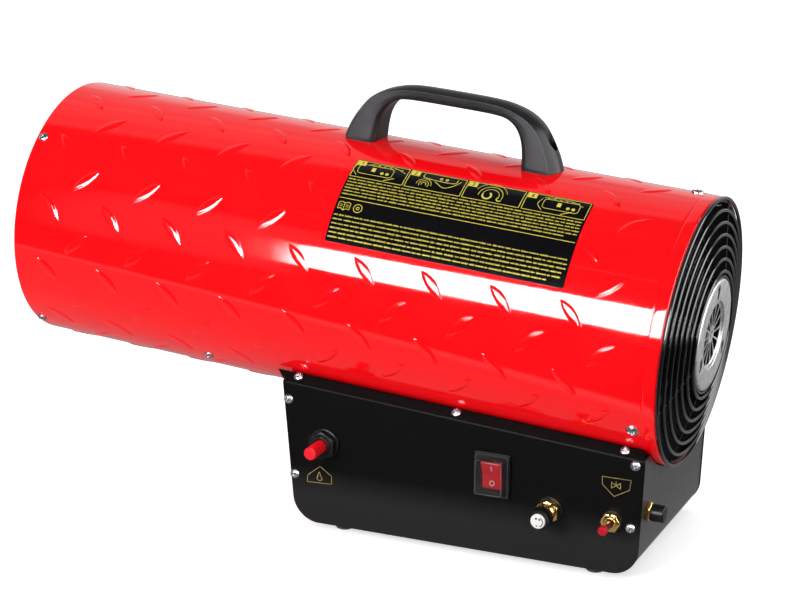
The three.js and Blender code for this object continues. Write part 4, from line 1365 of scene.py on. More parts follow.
# ---------------------------------------------------------------- burner, seen from the hot end
@dataclass
class Burner(SubAssembly):
    """What the hot end holds: the inner shield, the burner plate with its head, nozzle and probes."""

    shield_radius: float = 88.0
    shield_sheet: float = 0.8
    shield_start: float = 18.0
    shield_end: float = 300.0
    plate_at: float = 10.5
    bore: float = 21.8
    probe_offset: float = 47.0
    air_hole: float = 11.0
    air_circle: float = 62.0

    def shield(self) -> Shape:
        """The shield: a thin sleeve whose front edge is rolled into a bead."""
        start, end = self.shield_start - HALF_TUBE, self.shield_end - HALF_TUBE
        outer, inner = self.shield_radius, self.shield_radius - self.shield_sheet
        profile = softened([[start, inner], [start, outer], [end, outer], [end, inner]], 0.3, 3, closed=True)
        return joined([lathe(profile, 192, ring=True), torus(outer - 0.4, 1.1, 192, 12).moved(start + 1.1)])

    def build(self) -> None:
        """Builds the shield, the plate and what sits in it."""
        self.add("shield_sleeve", self.shield(), TUBE, STAINLESS, "heat_shield")
        plate = turned(
            [[self.plate_at, self.shield_radius - 1.5], [self.plate_at + 1.2, self.shield_radius - 1.5],
             [self.plate_at + 1.2, self.bore], [self.plate_at, self.bore]], 0.2, 128, ring=True)
        angles = np.radians(22.5 + 45 * np.arange(8))
        around = self.air_circle * np.column_stack([np.cos(angles), np.sin(angles)])
        spots = [(y, z, self.air_hole) for y, z in around]
        spots += [(0.0, self.probe_offset, 4.2), (0.0, -self.probe_offset, 3.0)]
        drill = [(rod(r, 0, 20, 0.01, 48), TUBE.at(self.plate_at - 8, y, z)) for y, z, r in spots]
        thing = carved(mesh_object("burner_disc", plate, TUBE), drill)
        self.keep(bevelled(thing, 0.2, 2), GALVANISED, "burner_plate")
        self.add("flame_cup", self.cup(), TUBE, STAINLESS, "burner_head")
        at = self.plate_at
        nozzle = turned([
            [at - 4, 0], [at - 4, 2.6], [at + 2, 5], [at + 10, 5], [at + 10, 8], [at + 24, 8], [at + 24, 6],
            [at + 29, 6], [at + 29, 0]], 0.5, 48)
        self.add("nozzle", nozzle, TUBE, BRASS, "gas_nozzle")
        electrode = turned([
            [-20, 0], [-20, 3.2], [-16, 3.5], [24, 3.5], [24, 2], [29, 2], [29, 0]], 0.5, 32)
        pin = rod(1.2, -45, -15, 0.3, 24)
        place = TUBE.at(at, 0, self.probe_offset)
        self.add("electrode_insulator", electrode, place, CERAMIC, "ignition_electrode")
        self.add("electrode_pin", pin, place, ZINC)

    def cup(self) -> Shape:
        """The flame cup: a cone that runs into a throat, with a rolled rim."""
        at, throat = self.plate_at, self.bore - 0.3
        profile = softened([
            [at - 38, 41.8], [at - 36.5, 42], [at - 12, throat], [at + 6, throat],
            [at + 6, throat - 1.5], [at - 12, throat - 1.5], [at - 37, 40.2]],
            [0.4, 0.8, 6, 0.4, 0.4, 6, 0.4], 6, closed=True)
        return lathe(profile, 96, ring=True)


# ---------------------------------------------------------------- motor, fan and guard
@dataclass
class FanUnit(SubAssembly):
    """The motor and the fan behind the guard."""

    motor_radius: float = 43.0
    motor_back: float = -52.0
    blades: int = 5
    tip: float = 97.5
    pitch: float = 32.0

    @property
    def fan_at(self) -> float:
        """Where the fan's hub stands along the tube."""
        return HALF_TUBE + self.motor_back - 18

    def blade(self) -> Shape:
        """One blade: a swept sheet that twists from a steep root to a flatter tip.

        With t from hub to tip and c across the chord, the point lies at radius r(t), and the chord,
        of width w(t), is turned from the fan's plane by the pitch times 1.25 - 0.4 t, with its middle
        bowed by 3 (1 - 4 c^2) mm.

        Returns:
            The closed blade, standing along local Z.
        """
        t = np.linspace(0, 1, 34)[:, None]
        c = np.linspace(-0.5, 0.5, 21)[None, :]
        radius = 12 + (self.tip - 12) * np.sin(t * TURN / 4) ** 0.9
        width = 26 + 34 * np.sin(np.clip(t * 1.02, 0, 1) * math.pi * 0.62) ** 1.2
        width = width * np.sqrt(np.maximum(1 - np.clip((t - 0.80) / 0.2, 0, 1) ** 2 * 0.9, 0.05))
        turn = np.radians(90 - self.pitch * (1.25 - 0.4 * t))
        chord = c * width + 5 * t
        bow = 3.0 * (1 - 4 * c**2)
        sides = []
        for offset in (0.7, -0.7):
            depth = bow + offset
            x = chord * np.cos(turn) + depth * np.sin(turn)
            y = chord * np.sin(turn) - depth * np.cos(turn)
            sides.append(np.stack([x, y, radius + 0 * c], -1))
        return closed_lens(*sides)

    def build(self) -> None:
        """Builds the housing, the fan with its hub, and the nut."""
        back = HALF_TUBE + self.motor_back
        radius = self.motor_radius
        housing = turned([
            [back, 8.3], [back, 30], [back + 5, radius - 3], [back + 14, radius], [HALF_TUBE + 6, radius],
            [HALF_TUBE + 6, radius - 1.5], [back + 14, radius - 1.5], [back + 7, radius - 5], [back + 3, 28],
            [back + 3, 12], [back + 8, 12], [back + 8, 8.3]],
            [0.4, 3, 4, 4, 0.4, 0.4, 3, 3, 2, 0.5, 0.4, 0.4], 128, ring=True)
        # The case and its bands get the nearly black painted shade seen through the vents.
        self.add("motor_case", housing, TUBE, MOTOR_PAINTED_SHADE, "motor_housing")
        band = [[back, radius - 0.4], [back + 1.4, radius], [back + 2.8, radius - 0.4]]
        bands = [turned(band, 0.3, 96, ring=True).moved(x) for x in (20.0, 27.0, 34.0)]
        self.add("motor_case_bands", joined(bands), TUBE, MOTOR_PAINTED_SHADE)
        hub = turned([[-9, 4.4], [-9, 13], [-7, 16], [7, 16], [9, 12], [9, 4.4]],
                     [0.3, 1, 1.5, 1.5, 1, 0.3], 64, ring=True)
        blades = [self.blade().turned(360 * i / self.blades) for i in range(self.blades)]
        fan = joined([hub, *blades])
        self.add("fan_blades", fan, TUBE.at(self.fan_at), CAST_METAL, "fan_impeller", body="fan")
        nut = hex_nut(13, 4.4, -16, 6.7)
        self.add("hub_nut", nut, TUBE.at(self.fan_at), ZINC, "fan_nut", body="fan")


@dataclass
class Guard(SubAssembly):
    """The wire guard over the fan, and the vented plate at its middle."""

    rings: int = 7
    ring_radius: float = 109.0
    pitch: float = 9.55
    dome_step: float = 1.67
    wire: float = 1.5
    spokes: int = 8
    disc_radius: float = 46.0
    disc_front: float = 13.0
    recess_radius: float = 27.0
    recess_depth: float = 2.4
    vents: int = 14
    keyholes: tuple[float, ...] = (85.0, 212.0, -29.0)
    tabs: tuple[float, ...] = (97.7, 227.7, -32.3)

    def ring_at(self, index: int) -> float:
        """Where a ring lies along the tube."""
        return HALF_TUBE + 0.3 + self.wire + index * self.dome_step

    def wires(self) -> Shape:
        """The rings and the clamping collar, as one welded guard."""
        shapes = [
            torus(self.ring_radius - i * self.pitch, self.wire, 200 - 12 * i).moved(self.ring_at(i))
            for i in range(self.rings)
        ]
        last = self.ring_at(self.rings - 1)
        collar = self.disc_radius + 0.6
        shapes.append(turned(
            [[last - 5, collar + 1.8], [last + 0.5, collar + 1.8], [last + 0.5, collar], [last - 5, collar]],
            0.4, 160, ring=True))
        return joined(shapes)

    def spoke_wires(self) -> Shape:
        """The thin spokes behind the rings."""
        shapes = []
        lean = math.atan2(self.dome_step, self.pitch)
        reach = (self.ring_radius - self.disc_radius - 1.6) / math.cos(lean)
        for number in range(self.spokes):
            spoke = rod(0.9, 0, reach, 0.2, 12)
            leaning = spoke.tipped(-90 + math.degrees(lean)).moved(self.ring_at(0) - 1.6, 0, self.ring_radius)
            shapes.append(leaning.turned((number + 0.5) * 360 / self.spokes))
        return joined(shapes)

    def tab(self, degrees: float) -> tuple[Shape, Place]:
        """One mounting tab and its place, flat inside the tube where a screw holds it."""
        return block(26, 12, -1.2, 0, 2.5, 0.3), on_tube(HALF_TUBE - 12.2, degrees, TUBE_RADIUS - 6.2)

    def disc(self) -> Object:
        """The plate: a cup with a sunk middle, cut by wedge vents and three curved keyholes."""
        front = HALF_TUBE + self.disc_front
        floor = front - self.recess_depth
        outer, recess, sheet = self.disc_radius, self.recess_radius, 0.55
        profile = softened([
            [HALF_TUBE + 3, outer], [front, outer], [front, recess + 0.7], [floor, recess], [floor, 3.4],
            [floor - sheet, 3.4], [floor - sheet, recess + sheet], [front - sheet, recess + 1.9],
            [front - sheet, outer - sheet], [HALF_TUBE + 3, outer - sheet]],
            [0.3, 2.0, 0.8, 0.8, 0.2, 0.2, 0.5, 0.5, 1.2, 0.3], 5, closed=True)
        thing = mesh_object("guard_plate", lathe(profile, 144, ring=True), TUBE)
        cutters = [(self.wedge(i * 360 / self.vents), TUBE.at(floor - 5)) for i in range(self.vents)]
        cutters += [(self.keyhole(degrees), TUBE.at(front - 6)) for degrees in self.keyholes]
        return bevelled(carved(thing, cutters), 0.18, 2, 50)

    def wedge(self, degrees: float) -> Shape:
        """The cutter of one vent: a wedge that widens outwards, with round ends."""
        corners = [[-1.2, 7.2], [1.2, 7.2], [4.8, 25.4], [-4.8, 25.4]]
        outline = softened(corners, [0.8, 0.8, 2.2, 2.2], 5, closed=True)
        return slab(outline, 0, 10).turned(degrees)

    def keyhole(self, degrees: float) -> Shape:
        """The cutter of one keyhole: an upright curved slot with a wider top.

        Its middle line is a short arc that bulges to one side, and its half width
        runs from 3.1 mm at the top to 2.1 mm at the foot.

        Args:
            degrees: Its angle around the plate.

        Returns:
            The cutter.
        """
        angle = math.radians(degrees)
        y, z = -36 * math.cos(angle), 36 * math.sin(angle)
        t = np.linspace(-1, 1, 13)
        line = np.column_stack([y + 1.8 * (1 - t**2), z + 5.2 * t])
        half = 2.6 + 0.5 * t
        along = np.gradient(line, axis=0)
        along /= np.linalg.norm(along, axis=1, keepdims=True)
        square = np.column_stack([-along[:, 1], along[:, 0]]) * half[:, None]
        outline = softened(np.vstack([line + square, (line - square)[::-1]]), 0.6, 2, closed=True)
        return slab(outline, 0, 12)

    def build(self) -> None:
        """Builds the guard, its tabs and the vented plate."""
        self.add("guard_wires", self.wires(), TUBE, BLACK_WIRE, "fan_guard")
        self.add("guard_spokes", self.spoke_wires(), TUBE, SPOKE_COAT)
        for number, degrees in enumerate(self.tabs, 1):
            shape, place = self.tab(degrees)
            self.add(f"guard_tab_{number}", shape, place, BLACK_WIRE)
        self.keep(self.disc(), GALVANISED, "motor_plate")


def slab(outline: Array, start: float, end: float) -> Shape:
    """A flat outline in Y and Z, made thick along X between two places."""
    return surface(np.stack([at_x(outline, start), at_x(outline, end)]), wrap_columns=True, caps=True)


# ---------------------------------------------------------------- handle
@dataclass
class Handle(SubAssembly):
    """The carry handle: one moulding whose outer face is crowned, with a deep screw hole in each leg.

    Along the tube it is symmetric about its middle. Its outer and inner edges are each a curve
    from the foot to the middle of the grip, and a section at a share t runs around the
    rectangle between the two, with the outer side bowed by the crown.
    """

    middle: float = 62.5
    width: float = 25.0
    screw_at: float = 82.5
    screw_radius: float = 6.2
    recess_floor: float = 11.0
    outer: tuple[tuple[float, float], ...] = (
        (-90.4, -3.0), (-89.6, 0.0), (-85.8, 11.0), (-80.2, 22.0), (-73.4, 31.8), (-65.5, 38.2),
        (-56.0, 42.8), (-43.4, 46.0), (-31.0, 47.2), (-15.0, 47.4), (0.0, 47.4))
    inner: tuple[tuple[float, float], ...] = (
        (-64.6, -3.0), (-64.4, 2.0), (-63.6, 11.0), (-61.6, 21.0), (-57.4, 29.6), (-51.4, 35.2),
        (-45.0, 37.9), (-37.0, 38.8), (-27.0, 39.1), (-13.0, 39.2), (0.0, 39.2))
    crown_foot: float = 5.8
    crown_top: float = 2.5
    flare: float = 8.6

    def edge(self, points: Rows) -> Array:
        """One edge curve over the whole handle, mirrored about the middle."""
        half = smooth_path(points, 10)
        return np.vstack([half[:-1], half[::-1] * np.array([-1, 1])])

    def shape(self) -> Shape:
        """The moulding as loops of points from one foot to the other."""
        outer, inner = self.edge(self.outer), self.edge(self.inner)
        side = np.concatenate([[-1, -0.965, -0.93], np.linspace(-0.88, 0.88, 17), [0.93, 0.965, 1]])
        depth = outer - inner
        thickness = np.linalg.norm(depth, axis=1, keepdims=True)
        direction = depth / thickness
        height = outer[:, 1:] / self.outer[-1][1]
        crown = self.crown_foot + (self.crown_top - self.crown_foot) * np.clip(height, 0, 1) ** 1.5
        half = self.width / 2 + self.flare / 2 * (1 - np.clip(height, 0, 1))
        shares, across, bows = self.section(side)
        base = inner[:, None] + direction[:, None] * (shares[None, :, None] * thickness[:, None])
        place = base + direction[:, None] * (crown * bows[None])[:, :, None]
        y = across[None, :] * half
        points = spread(self.middle + place[..., 0], y, TUBE_RADIUS + place[..., 1])
        return surface(points, wrap_columns=True, caps=True)

    def section(self, side: Array) -> tuple[Array, Array, Array]:
        """The loop around one section.

        Args:
            side: Places across the outer side, from -1 to 1.

        Returns:
            Share of the way from the inner to the outer edge, place across as a share of the
            half width, and how much of the crown each point takes.
        """
        bow = np.where(abs(side) > 0.92, 0, 1 - (abs(side) / 0.84) ** 2.4)
        outer = np.column_stack([np.full(len(side), 1.0), side, bow])
        corners = np.array([[0.22, 1.0, 0], [0.10, 0.97, 0], [0.03, 0.90, 0], [0.0, 0.78, 0]])
        flat = np.column_stack([np.zeros(7), np.linspace(0.55, -0.55, 7), np.zeros(7)])
        near_outer = np.array([[0.93, 1.0, 0], [0.6, 1.0, 0]])
        one_side = np.vstack([near_outer, corners])
        other = one_side[::-1] * np.array([1, -1, 1])
        loop = np.vstack([outer, one_side, flat, other])
        return loop[:, 0], loop[:, 1], loop[:, 2]

    def build(self) -> None:
        """Builds the moulding with its two screw holes, and the screws in them."""
        thing = mesh_object("carry_handle", self.shape(), TUBE)
        seat = TUBE_RADIUS + 0.15
        cutters = [(rod(seat, -60, 180, 0.01, 288), TUBE)]
        for sign in (-1, 1):
            place = on_tube(self.middle + sign * self.screw_at, 90, TUBE_RADIUS)
            cutters.append((rod(self.screw_radius, self.recess_floor, 80, 0.4), place))
        thing = bevelled(carved(thing, cutters), 0.35, 3, 38)
        self.keep(thing, HANDLE_PLASTIC, "handle", smooth=32)
        for number, sign in enumerate((-1, 1), 1):
            place = on_tube(self.middle + sign * self.screw_at, 90, TUBE_RADIUS + self.recess_floor)
            head = pan_screw(4.2, 2.8, 20 * sign)
            self.add(f"handle_bolt_{number}", head, place, ZINC, f"handle_screw_{number}")


# ---------------------------------------------------------------- base
@dataclass
class Base(SubAssembly):
    """The folded base: two panels over a channel, with feet, screws and two small printed marks."""

    left: float = -31.5
    right: float = 267.5
    corner: float = 21.0
    sheet: float = 1.2
    bend_height: float = 120.0
    bend_radius: float = 3.2
    flange: float = 10.4
    flange_flare: float = 10.0
    flange_rise: float = math.radians(35)
    panel_screws: tuple[tuple[float, float], ...] = (
        (-37.3, 105.6), (-31.7, 40.7), (263.4, 92.9), (261.0, 40.4))
    flange_screws: tuple[float, ...] = (-30.8, 110.0, 252.6)
    foot_x: tuple[float, ...] = (8.0, 229.0)
    foot_y: float = 74.0
    foot_radius: float = 8.0
    foot_height: float = 5.5
    top_corner: float = 5.0
    channel_inset: float = 0.6
    columns: int = 61

    def left_at(self, z: Array | float) -> Array | float:
        """The left wall's outer face at a height."""
        return self.left - math.tan(LEFT_LEAN) * z

    def right_at(self, z: Array | float) -> Array | float:
        """The right wall's outer face at a height."""
        return self.right + math.tan(RIGHT_LEAN) * z

    def bend_at(self, x: Array | float) -> Array | float:
        """The panel's top fold at a place along X."""
        return self.bend_height - math.tan(TUBE_TILT) * x

    def edges_at(self, z: Array, top: Array) -> tuple[Array, Array]:
        """The panel's left and right edges at a height, with its corners rounded.

        At the foot the edge moves in by R - sqrt(R^2 - (R - z)^2), and at the right it does the same
        near the top with a smaller radius.

        Args:
            z: Heights.
            top: Height of the fold.

        Returns:
            Left and right X.
        """
        drop = np.clip(self.corner - z, 0, self.corner)
        inward = self.corner - np.sqrt(self.corner**2 - drop**2)
        near_top = np.clip(self.top_corner - (top - z), 0, self.top_corner)
        at_top = self.top_corner - np.sqrt(self.top_corner**2 - near_top**2)
        return self.left_at(z) + inward, self.right_at(z) - inward - at_top

    def panel_face(self) -> Array:
        """A panel: its face, the fold along its top and the flange that leans on to the tube.

        The height along the face runs as 1 - cos near the foot, so that the round corners are
        smooth. Past the fold the surface leans in: y grows by cos(rise) and z by sin(rise), and
        its left end runs out by the flare.

        Returns:
            The grid of the outer surface, which is thickened later.
        """
        u = np.linspace(0, 1, self.columns)[None, :]
        foot = self.corner * (1 - np.cos(np.linspace(0, TURN / 4, 15)))
        x_rough = self.left + u * (self.right - self.left)
        top = self.bend_at(x_rough) - self.bend_radius
        share = np.linspace(0, 1, 36)[1:, None]
        z = np.vstack([np.broadcast_to(foot[:, None], (len(foot), u.shape[1])),
                       self.corner + share * (top - self.corner)])
        low, high = self.edges_at(z, self.bend_at(x_rough))
        x = low + u * (high - low)
        face = spread(x, -HALF_BASE, z)
        turn = np.linspace(0, TURN / 4 - self.flange_rise, 7)[1:, None]
        last = face[-1:]
        fold_y, fold_z = self.bend_radius * (1 - np.cos(turn)), self.bend_radius * np.sin(turn)
        fold = spread(last[..., 0], -HALF_BASE + fold_y, last[..., 2] + fold_z)
        run = np.linspace(0, self.flange - 1.5, 7)[1:, None]
        end = fold[-1:]
        lean_y, lean_z = math.cos(self.flange_rise) * run, math.sin(self.flange_rise) * run
        shift = -self.flange_flare * run / self.flange * ((1 - u) + 0.4 * u)
        drop = -math.tan(TUBE_TILT) * shift
        lip = spread(end[..., 0] + shift, end[..., 1] + lean_y, end[..., 2] + lean_z + drop)
        return np.vstack([face, fold, lip])

    def panel(self, name: str, place: Place, holes: Sequence[tuple[Shape, Place]]) -> Object:
        """A panel made thick, with its holes cut and its edges rounded.

        Args:
            name: The piece's name.
            place: Where it stands.
            holes: What is cut out of it.

        Returns:
            The object.
        """
        outer = self.panel_face()
        thing = mesh_object(name, closed_lens(outer, self.offset_inward(outer)), place)
        return bevelled(carved(thing, holes), 0.35, 3, 50)

    def offset_inward(self, grid: Array) -> Array:
        """The grid moved in by the sheet's thickness, square to its surface in Y and Z."""
        step = np.gradient(grid, axis=0)
        length = np.maximum(np.hypot(step[..., 1], step[..., 2]), 1e-9)
        moved = grid.copy()
        moved[..., 1] += self.sheet * step[..., 2] / length
        moved[..., 2] -= self.sheet * step[..., 1] / length
        return moved

    def channel(self) -> Object:
        """The underside and the side walls, one strip bent up at both ends and cut away for the tube.

        A share a runs down the left wall, round its corner, along the underside and up the right wall,
        and each wall stops at the tube, whose surface at (x, y) lies sqrt(R^2 - y^2) below its axis.

        Returns:
            The object.
        """
        front = HALF_BASE - self.sheet - 0.3
        y = np.linspace(-front, front, 73)[None, :]
        inset = self.channel_inset
        radius = self.corner - inset
        wall = np.linspace(1, 0, 25)[:, None]
        left_top, right_top = self.wall_top(self.left - 9, y), self.wall_top(self.right + 3, y)
        z_left = radius + wall * (left_top - radius)
        z_right = radius + wall[::-1] * (right_top - radius)
        turn = np.linspace(0, TURN / 4, 13)[1:-1, None]
        low_left, low_right = self.left_at(radius) + inset, self.right_at(radius) - inset
        inward, outward = radius * (1 - np.cos(turn)), radius * (1 - np.sin(turn))
        corner_left = spread(low_left + inward, y, inset + outward)
        corner_right = spread(low_right - outward, y, inset + inward)
        floor = spread(np.linspace(low_left + radius, low_right - radius, 31)[:, None], y, inset)
        left = spread(self.left_at(z_left) + inset, y, z_left)
        right = spread(self.right_at(z_right) - inset, y, z_right)
        outside = np.vstack([left, corner_left, floor, corner_right, right])
        step = np.gradient(outside, axis=0)
        length = np.maximum(np.hypot(step[..., 0], step[..., 2]), 1e-9)
        inside = outside.copy()
        inside[..., 0] -= self.sheet * step[..., 2] / length
        inside[..., 2] += self.sheet * step[..., 0] / length
        thing = mesh_object("base_pan", closed_lens(outside, inside), BASE)
        (inlet_y, inlet_z), (gland_y, gland_z) = INLET_SPOT, GLAND_SPOT
        inlet = BASE.at(self.right_at(inlet_z), inlet_y, inlet_z).facing(OUT_OF_RIGHT)
        gland = BASE.at(self.left_at(gland_z), gland_y, gland_z).facing(OUT_OF_LEFT)
        cutters = [(rod(6.4, -12, 12, segments=48), inlet), (rod(8.4, -12, 12, segments=48), gland)]
        return bevelled(carved(thing, cutters), 0.3, 2, 50)

    def wall_top(self, x: float, y: Array) -> Array:
        """Where a side wall ends at a place: the fold's height, or just under the tube."""
        gap = TUBE_RADIUS + 0.8
        under = AXIS_HEIGHT - math.tan(TUBE_TILT) * x - np.sqrt(gap**2 - y**2) / math.cos(TUBE_TILT)
        return np.minimum(self.bend_at(x) - 1, under)

    def build(self) -> None:
        """Builds the panels, the channel, the feet, the screws and the marks."""
        front = [
            (rod(8.8, -9, 9), on_panel(IGNITER_SPOT)),
            (block(22.8, 30, -9, 9, 0.5, 0.05), on_panel(SWITCH_SPOT)),
            (rod(6.4, -9, 9), on_panel(REGULATOR_SPOT)),
            (rod(5.4, -9, 9), on_panel(VALVE_SPOT)),
        ]
        self.keep(self.panel("panel_front", BASE, front), BLACK_COAT, "front_panel")
        mirrored = Place(BASE.origin, np.diag([1.0, -1.0, 1.0]))
        self.keep(self.panel("panel_back", mirrored, []), BLACK_COAT, "back_panel")
        # The channel wears the paler copy of the black coat: painted light on its side walls.
        self.keep(self.channel(), CHANNEL_COAT_PAINTED_LIGHT, "base_channel")
        self.feet()
        self.screws()
        self.marks()

    def feet(self) -> None:
        """Adds the four rubber feet."""
        number = 1
        for x in self.foot_x:
            for y in (-self.foot_y, self.foot_y):
                foot = turned([
                    [0.3, 0], [0.3, self.foot_radius], [self.foot_height - 0.8, self.foot_radius - 0.5],
                    [self.foot_height, self.foot_radius - 1.6], [self.foot_height, 3.2],
                    [self.foot_height - 1.5, 2.8], [self.foot_height - 1.5, 0]], 0.5, 56)
                place = BASE.at(x, y).facing(DOWNWARD)
                self.add(f"rubber_foot_{number}", foot, place, RUBBER, f"foot_{number}")
                number += 1

    def screws(self) -> None:
        """Adds the screws on both panels and along their flanges."""
        for side, sign in (("front", -1), ("back", 1)):
            rows = OUT_OF_FRONT if sign < 0 else OUT_OF_BACK
            for number, (x, z) in enumerate(self.panel_screws, 1):
                place = BASE.at(x, sign * HALF_BASE, z).facing(rows)
                nodes = [f"panel_screw_{number}"] if sign < 0 else []
                self.add(f"{side}_screw_{number}", pan_screw(4.0, 2.4, 25 * number), place, ZINC, *nodes)
            lean = self.flange_rise
            out = [0, sign * math.sin(lean), math.cos(lean)]
            rows = [out, [1, 0, 0], list(np.cross(out, [1, 0, 0]))]
            for number, x in enumerate(self.flange_screws, 1):
                y = HALF_BASE - 1.2 - 0.52 * self.flange * math.cos(lean)
                z = self.bend_at(x) - self.bend_radius + 1.9 + 0.52 * self.flange * math.sin(lean)
                place = BASE.at(x, sign * y, z).facing(rows)
                self.add(f"{side}_flange_screw_{number}", pan_screw(4.0, 2.3, 31 * number), place, ZINC)

    def marks(self) -> None:
        """Adds the two outlined marks: one points up at the igniter, one down at the gas valve."""
        up = [[-20.4, 35.4], [1.9, 36.3], [1.9, 43.3], [-8.6, 50.5], [-20.0, 41.4], [-20.4, 35.4]]
        down = [[236.5, 80.2], [260.4, 80.3], [259.2, 71.9], [246.8, 64.9], [236.9, 73.6], [236.5, 80.2]]
        place = BASE.at(0, -HALF_BASE, 0).facing(OUT_OF_FRONT)
        strokes = [ribbon(dense(path), 0.42, -0.05, 0.05) for path in (up, down)]
        flame = [[-9.0, 37.6], [-11.4, 39.2], [-11.0, 41.6], [-9.4, 45.4], [-8.0, 41.8], [-6.8, 39.4],
                 [-9.0, 37.6]]
        strokes.append(ribbon(smooth_path(flame), 0.5, -0.05, 0.05))
        bow = [[244.4, 71.6], [244.4, 76.6], [251.8, 71.6], [251.8, 76.6], [244.4, 71.6]]
        strokes.append(ribbon(dense(bow), 0.5, -0.05, 0.05))
        strokes.append(ribbon(dense([[248.1, 74.1], [248.1, 77.6]]), 0.5, -0.05, 0.05))
        self.add("panel_marks", joined(strokes), place, GOLD_INK)


# ---------------------------------------------------------------- controls
@dataclass
class Controls(SubAssembly):
    """What the hand works on the front panel, and the fittings on the side walls."""

    rocker_tilt: float = 10.0
    inlet_wall: float = 266.9
    gland_wall: float = -30.9

    def build(self) -> None:
        """Builds the igniter, the switch, the regulator, the gas valve and the side fittings."""
        self.build_igniter()
        self.build_switch()
        self.build_regulator()
        self.build_valve()
        self.build_side_fittings()

    def build_igniter(self) -> None:
        """A threaded body with a flange and a hex nut, and a long red button."""
        place = on_panel(IGNITER_SPOT)
        body = turned(
            [[-42, 0], [-42, 11], [-1.5, 11], [-1.5, 8.3], [9.6, 8.3], [9.6, 6.1], [-14, 6.1], [-14, 0]],
            [0, 1, 0.3, 0.3, 0.8, 0.4, 0.3, 0], 72)
        self.add("igniter_barrel", body, place, BLACK_PLASTIC, "igniter_body")
        flange = turned([[0.3, 8.7], [0.3, 13], [2.0, 13], [2.6, 12], [2.6, 8.7]], 0.5, 96, ring=True)
        nut = hex_nut(22, 8.7, 2.5, 6.4)
        self.add("igniter_lock_nut", joined([flange, nut]), place, BLACK_PLASTIC, "igniter_nut")
        button = turned([[-5, 0], [-5, 5.5], [29.2, 5.4], [30, 4.6], [30, 0]], [0, 0.3, 0.6, 0.6, 0], 72)
        self.add("ignition_push", button, place, IGNITION_RED, "ignition_button", body="ignition_button")

    def build_switch(self) -> None:
        """The rocker in its frame, under a clear cover with sloping sides."""
        place = on_panel(SWITCH_SPOT)
        frame_shape = block(31, 37.8, 0.3, 2.9, 1.6, 0.5, bore=6.4)
        body = block(21.8, 29, -26, 0.6, 0.8, 0.3, bore=1.8)
        self.add("rocker_frame", joined([frame_shape, body]), place, BLACK_PLASTIC, "switch_housing")
        profile = softened(
            [[-5, -4], [-2, -9.6], [3.0, -12.2], [5.2, -11.8], [3.4, 0], [5.2, 11.8], [3.0, 12.2],
             [-2, 9.6], [-5, 4]], [0.6, 0.6, 0.5, 0.8, 3.0, 0.8, 0.5, 0.6, 0.6], 6, closed=True)
        width = np.linspace(-8.7, 8.7, 13)[:, None]
        inset = np.where(abs(width) > 8.2, 0.3, 0.0)
        loops = spread(profile[:, 0] * (1 - inset * 0.06), width, profile[:, 1] * (1 - inset * 0.03))
        rocker = surface(loops, wrap_columns=True, caps=True)
        pivot = place.at(-2)
        tilted = rocker.tipped(-self.rocker_tilt)
        self.add("rocker_key", tilted, pivot, ROCKER_RED, "switch_rocker", body="rocker")
        bar = ribbon(dense([[0, 4.4], [0, 9.0]]), 0.9, -0.1, 0.12)
        raised = joined([bar, ribbon(arc(0, -6.6, 1.9, 0, 360, 40), 0.7, -0.1, 0.12)])
        above, y, z = raised.points.T
        bowed = Shape(np.column_stack([above + 3.35 + 0.155 * abs(z) ** 1.02, y, z]), raised.faces)
        self.add("rocker_marks", bowed.tipped(-self.rocker_tilt), pivot, PALE_INK, body="rocker")
        start = 3.1
        loops = (
            (28, 34.4, 0.0, 2.0), (27.6, 34.0, 2.2, 2.0), (23.4, 29.8, 7.4, 2.4), (22.2, 28.6, 8.0, 2.2),
            (20, 26.4, 8.0, 2.0), (1, 1, 8.0, 0.2), (1, 1, 7.2, 0.2), (20.8, 27.2, 7.2, 1.6),
            (22.2, 28.6, 6.8, 1.8), (26.2, 32.6, 2.0, 1.6), (26.6, 33.0, 0.0, 1.6))
        shell = [at_x(rounded_loop(wide, high, corner), start + out) for wide, high, out, corner in loops]
        shell = surface(np.stack(shell), wrap_rows=True, wrap_columns=True)
        self.add("splash_cover", shell, place, CLEAR_PLASTIC, "switch_cover")
        # Painted highlights along the cover's foot and its front rim.
        foot = self.cover_edge(28.1, 34.5, start, 0.6, 1.1)
        rim = self.cover_edge(22.5, 28.9, start + 7.6, 0.42, 1.0)
        self.add("cover_edges", joined([foot, rim]), place, PAINTED_COVER_HIGHLIGHT)

    def cover_edge(self, width: float, height: float, x: float, depth: float, band: float) -> Shape:
        """One pale strip along an edge of the splash cover: a painted highlight on the clear plastic."""
        sizes = ((0, 0), (0, depth), (band, depth), (band, 0))
        loops = [at_x(rounded_loop(width - inward, height - inward, 1.8), x + out) for inward, out in sizes]
        return surface(np.stack(loops), wrap_rows=True, wrap_columns=True)

    def threads(self, radius: float, start: float, end: float, pitch: float) -> Shape:
        """A threaded shank: r = R - 0.45 + 0.45 * |saw(x / pitch)|, turned about X."""
        x = np.arange(start, end, pitch / 4)
        saw = abs(((x - start) / pitch) % 1.0 - 0.5) * 2
        profile = np.column_stack([x, radius - 0.45 + 0.45 * saw])
        return lathe(np.vstack([[start, 0], profile, [end, radius - 0.4], [end, 0]]), 64)

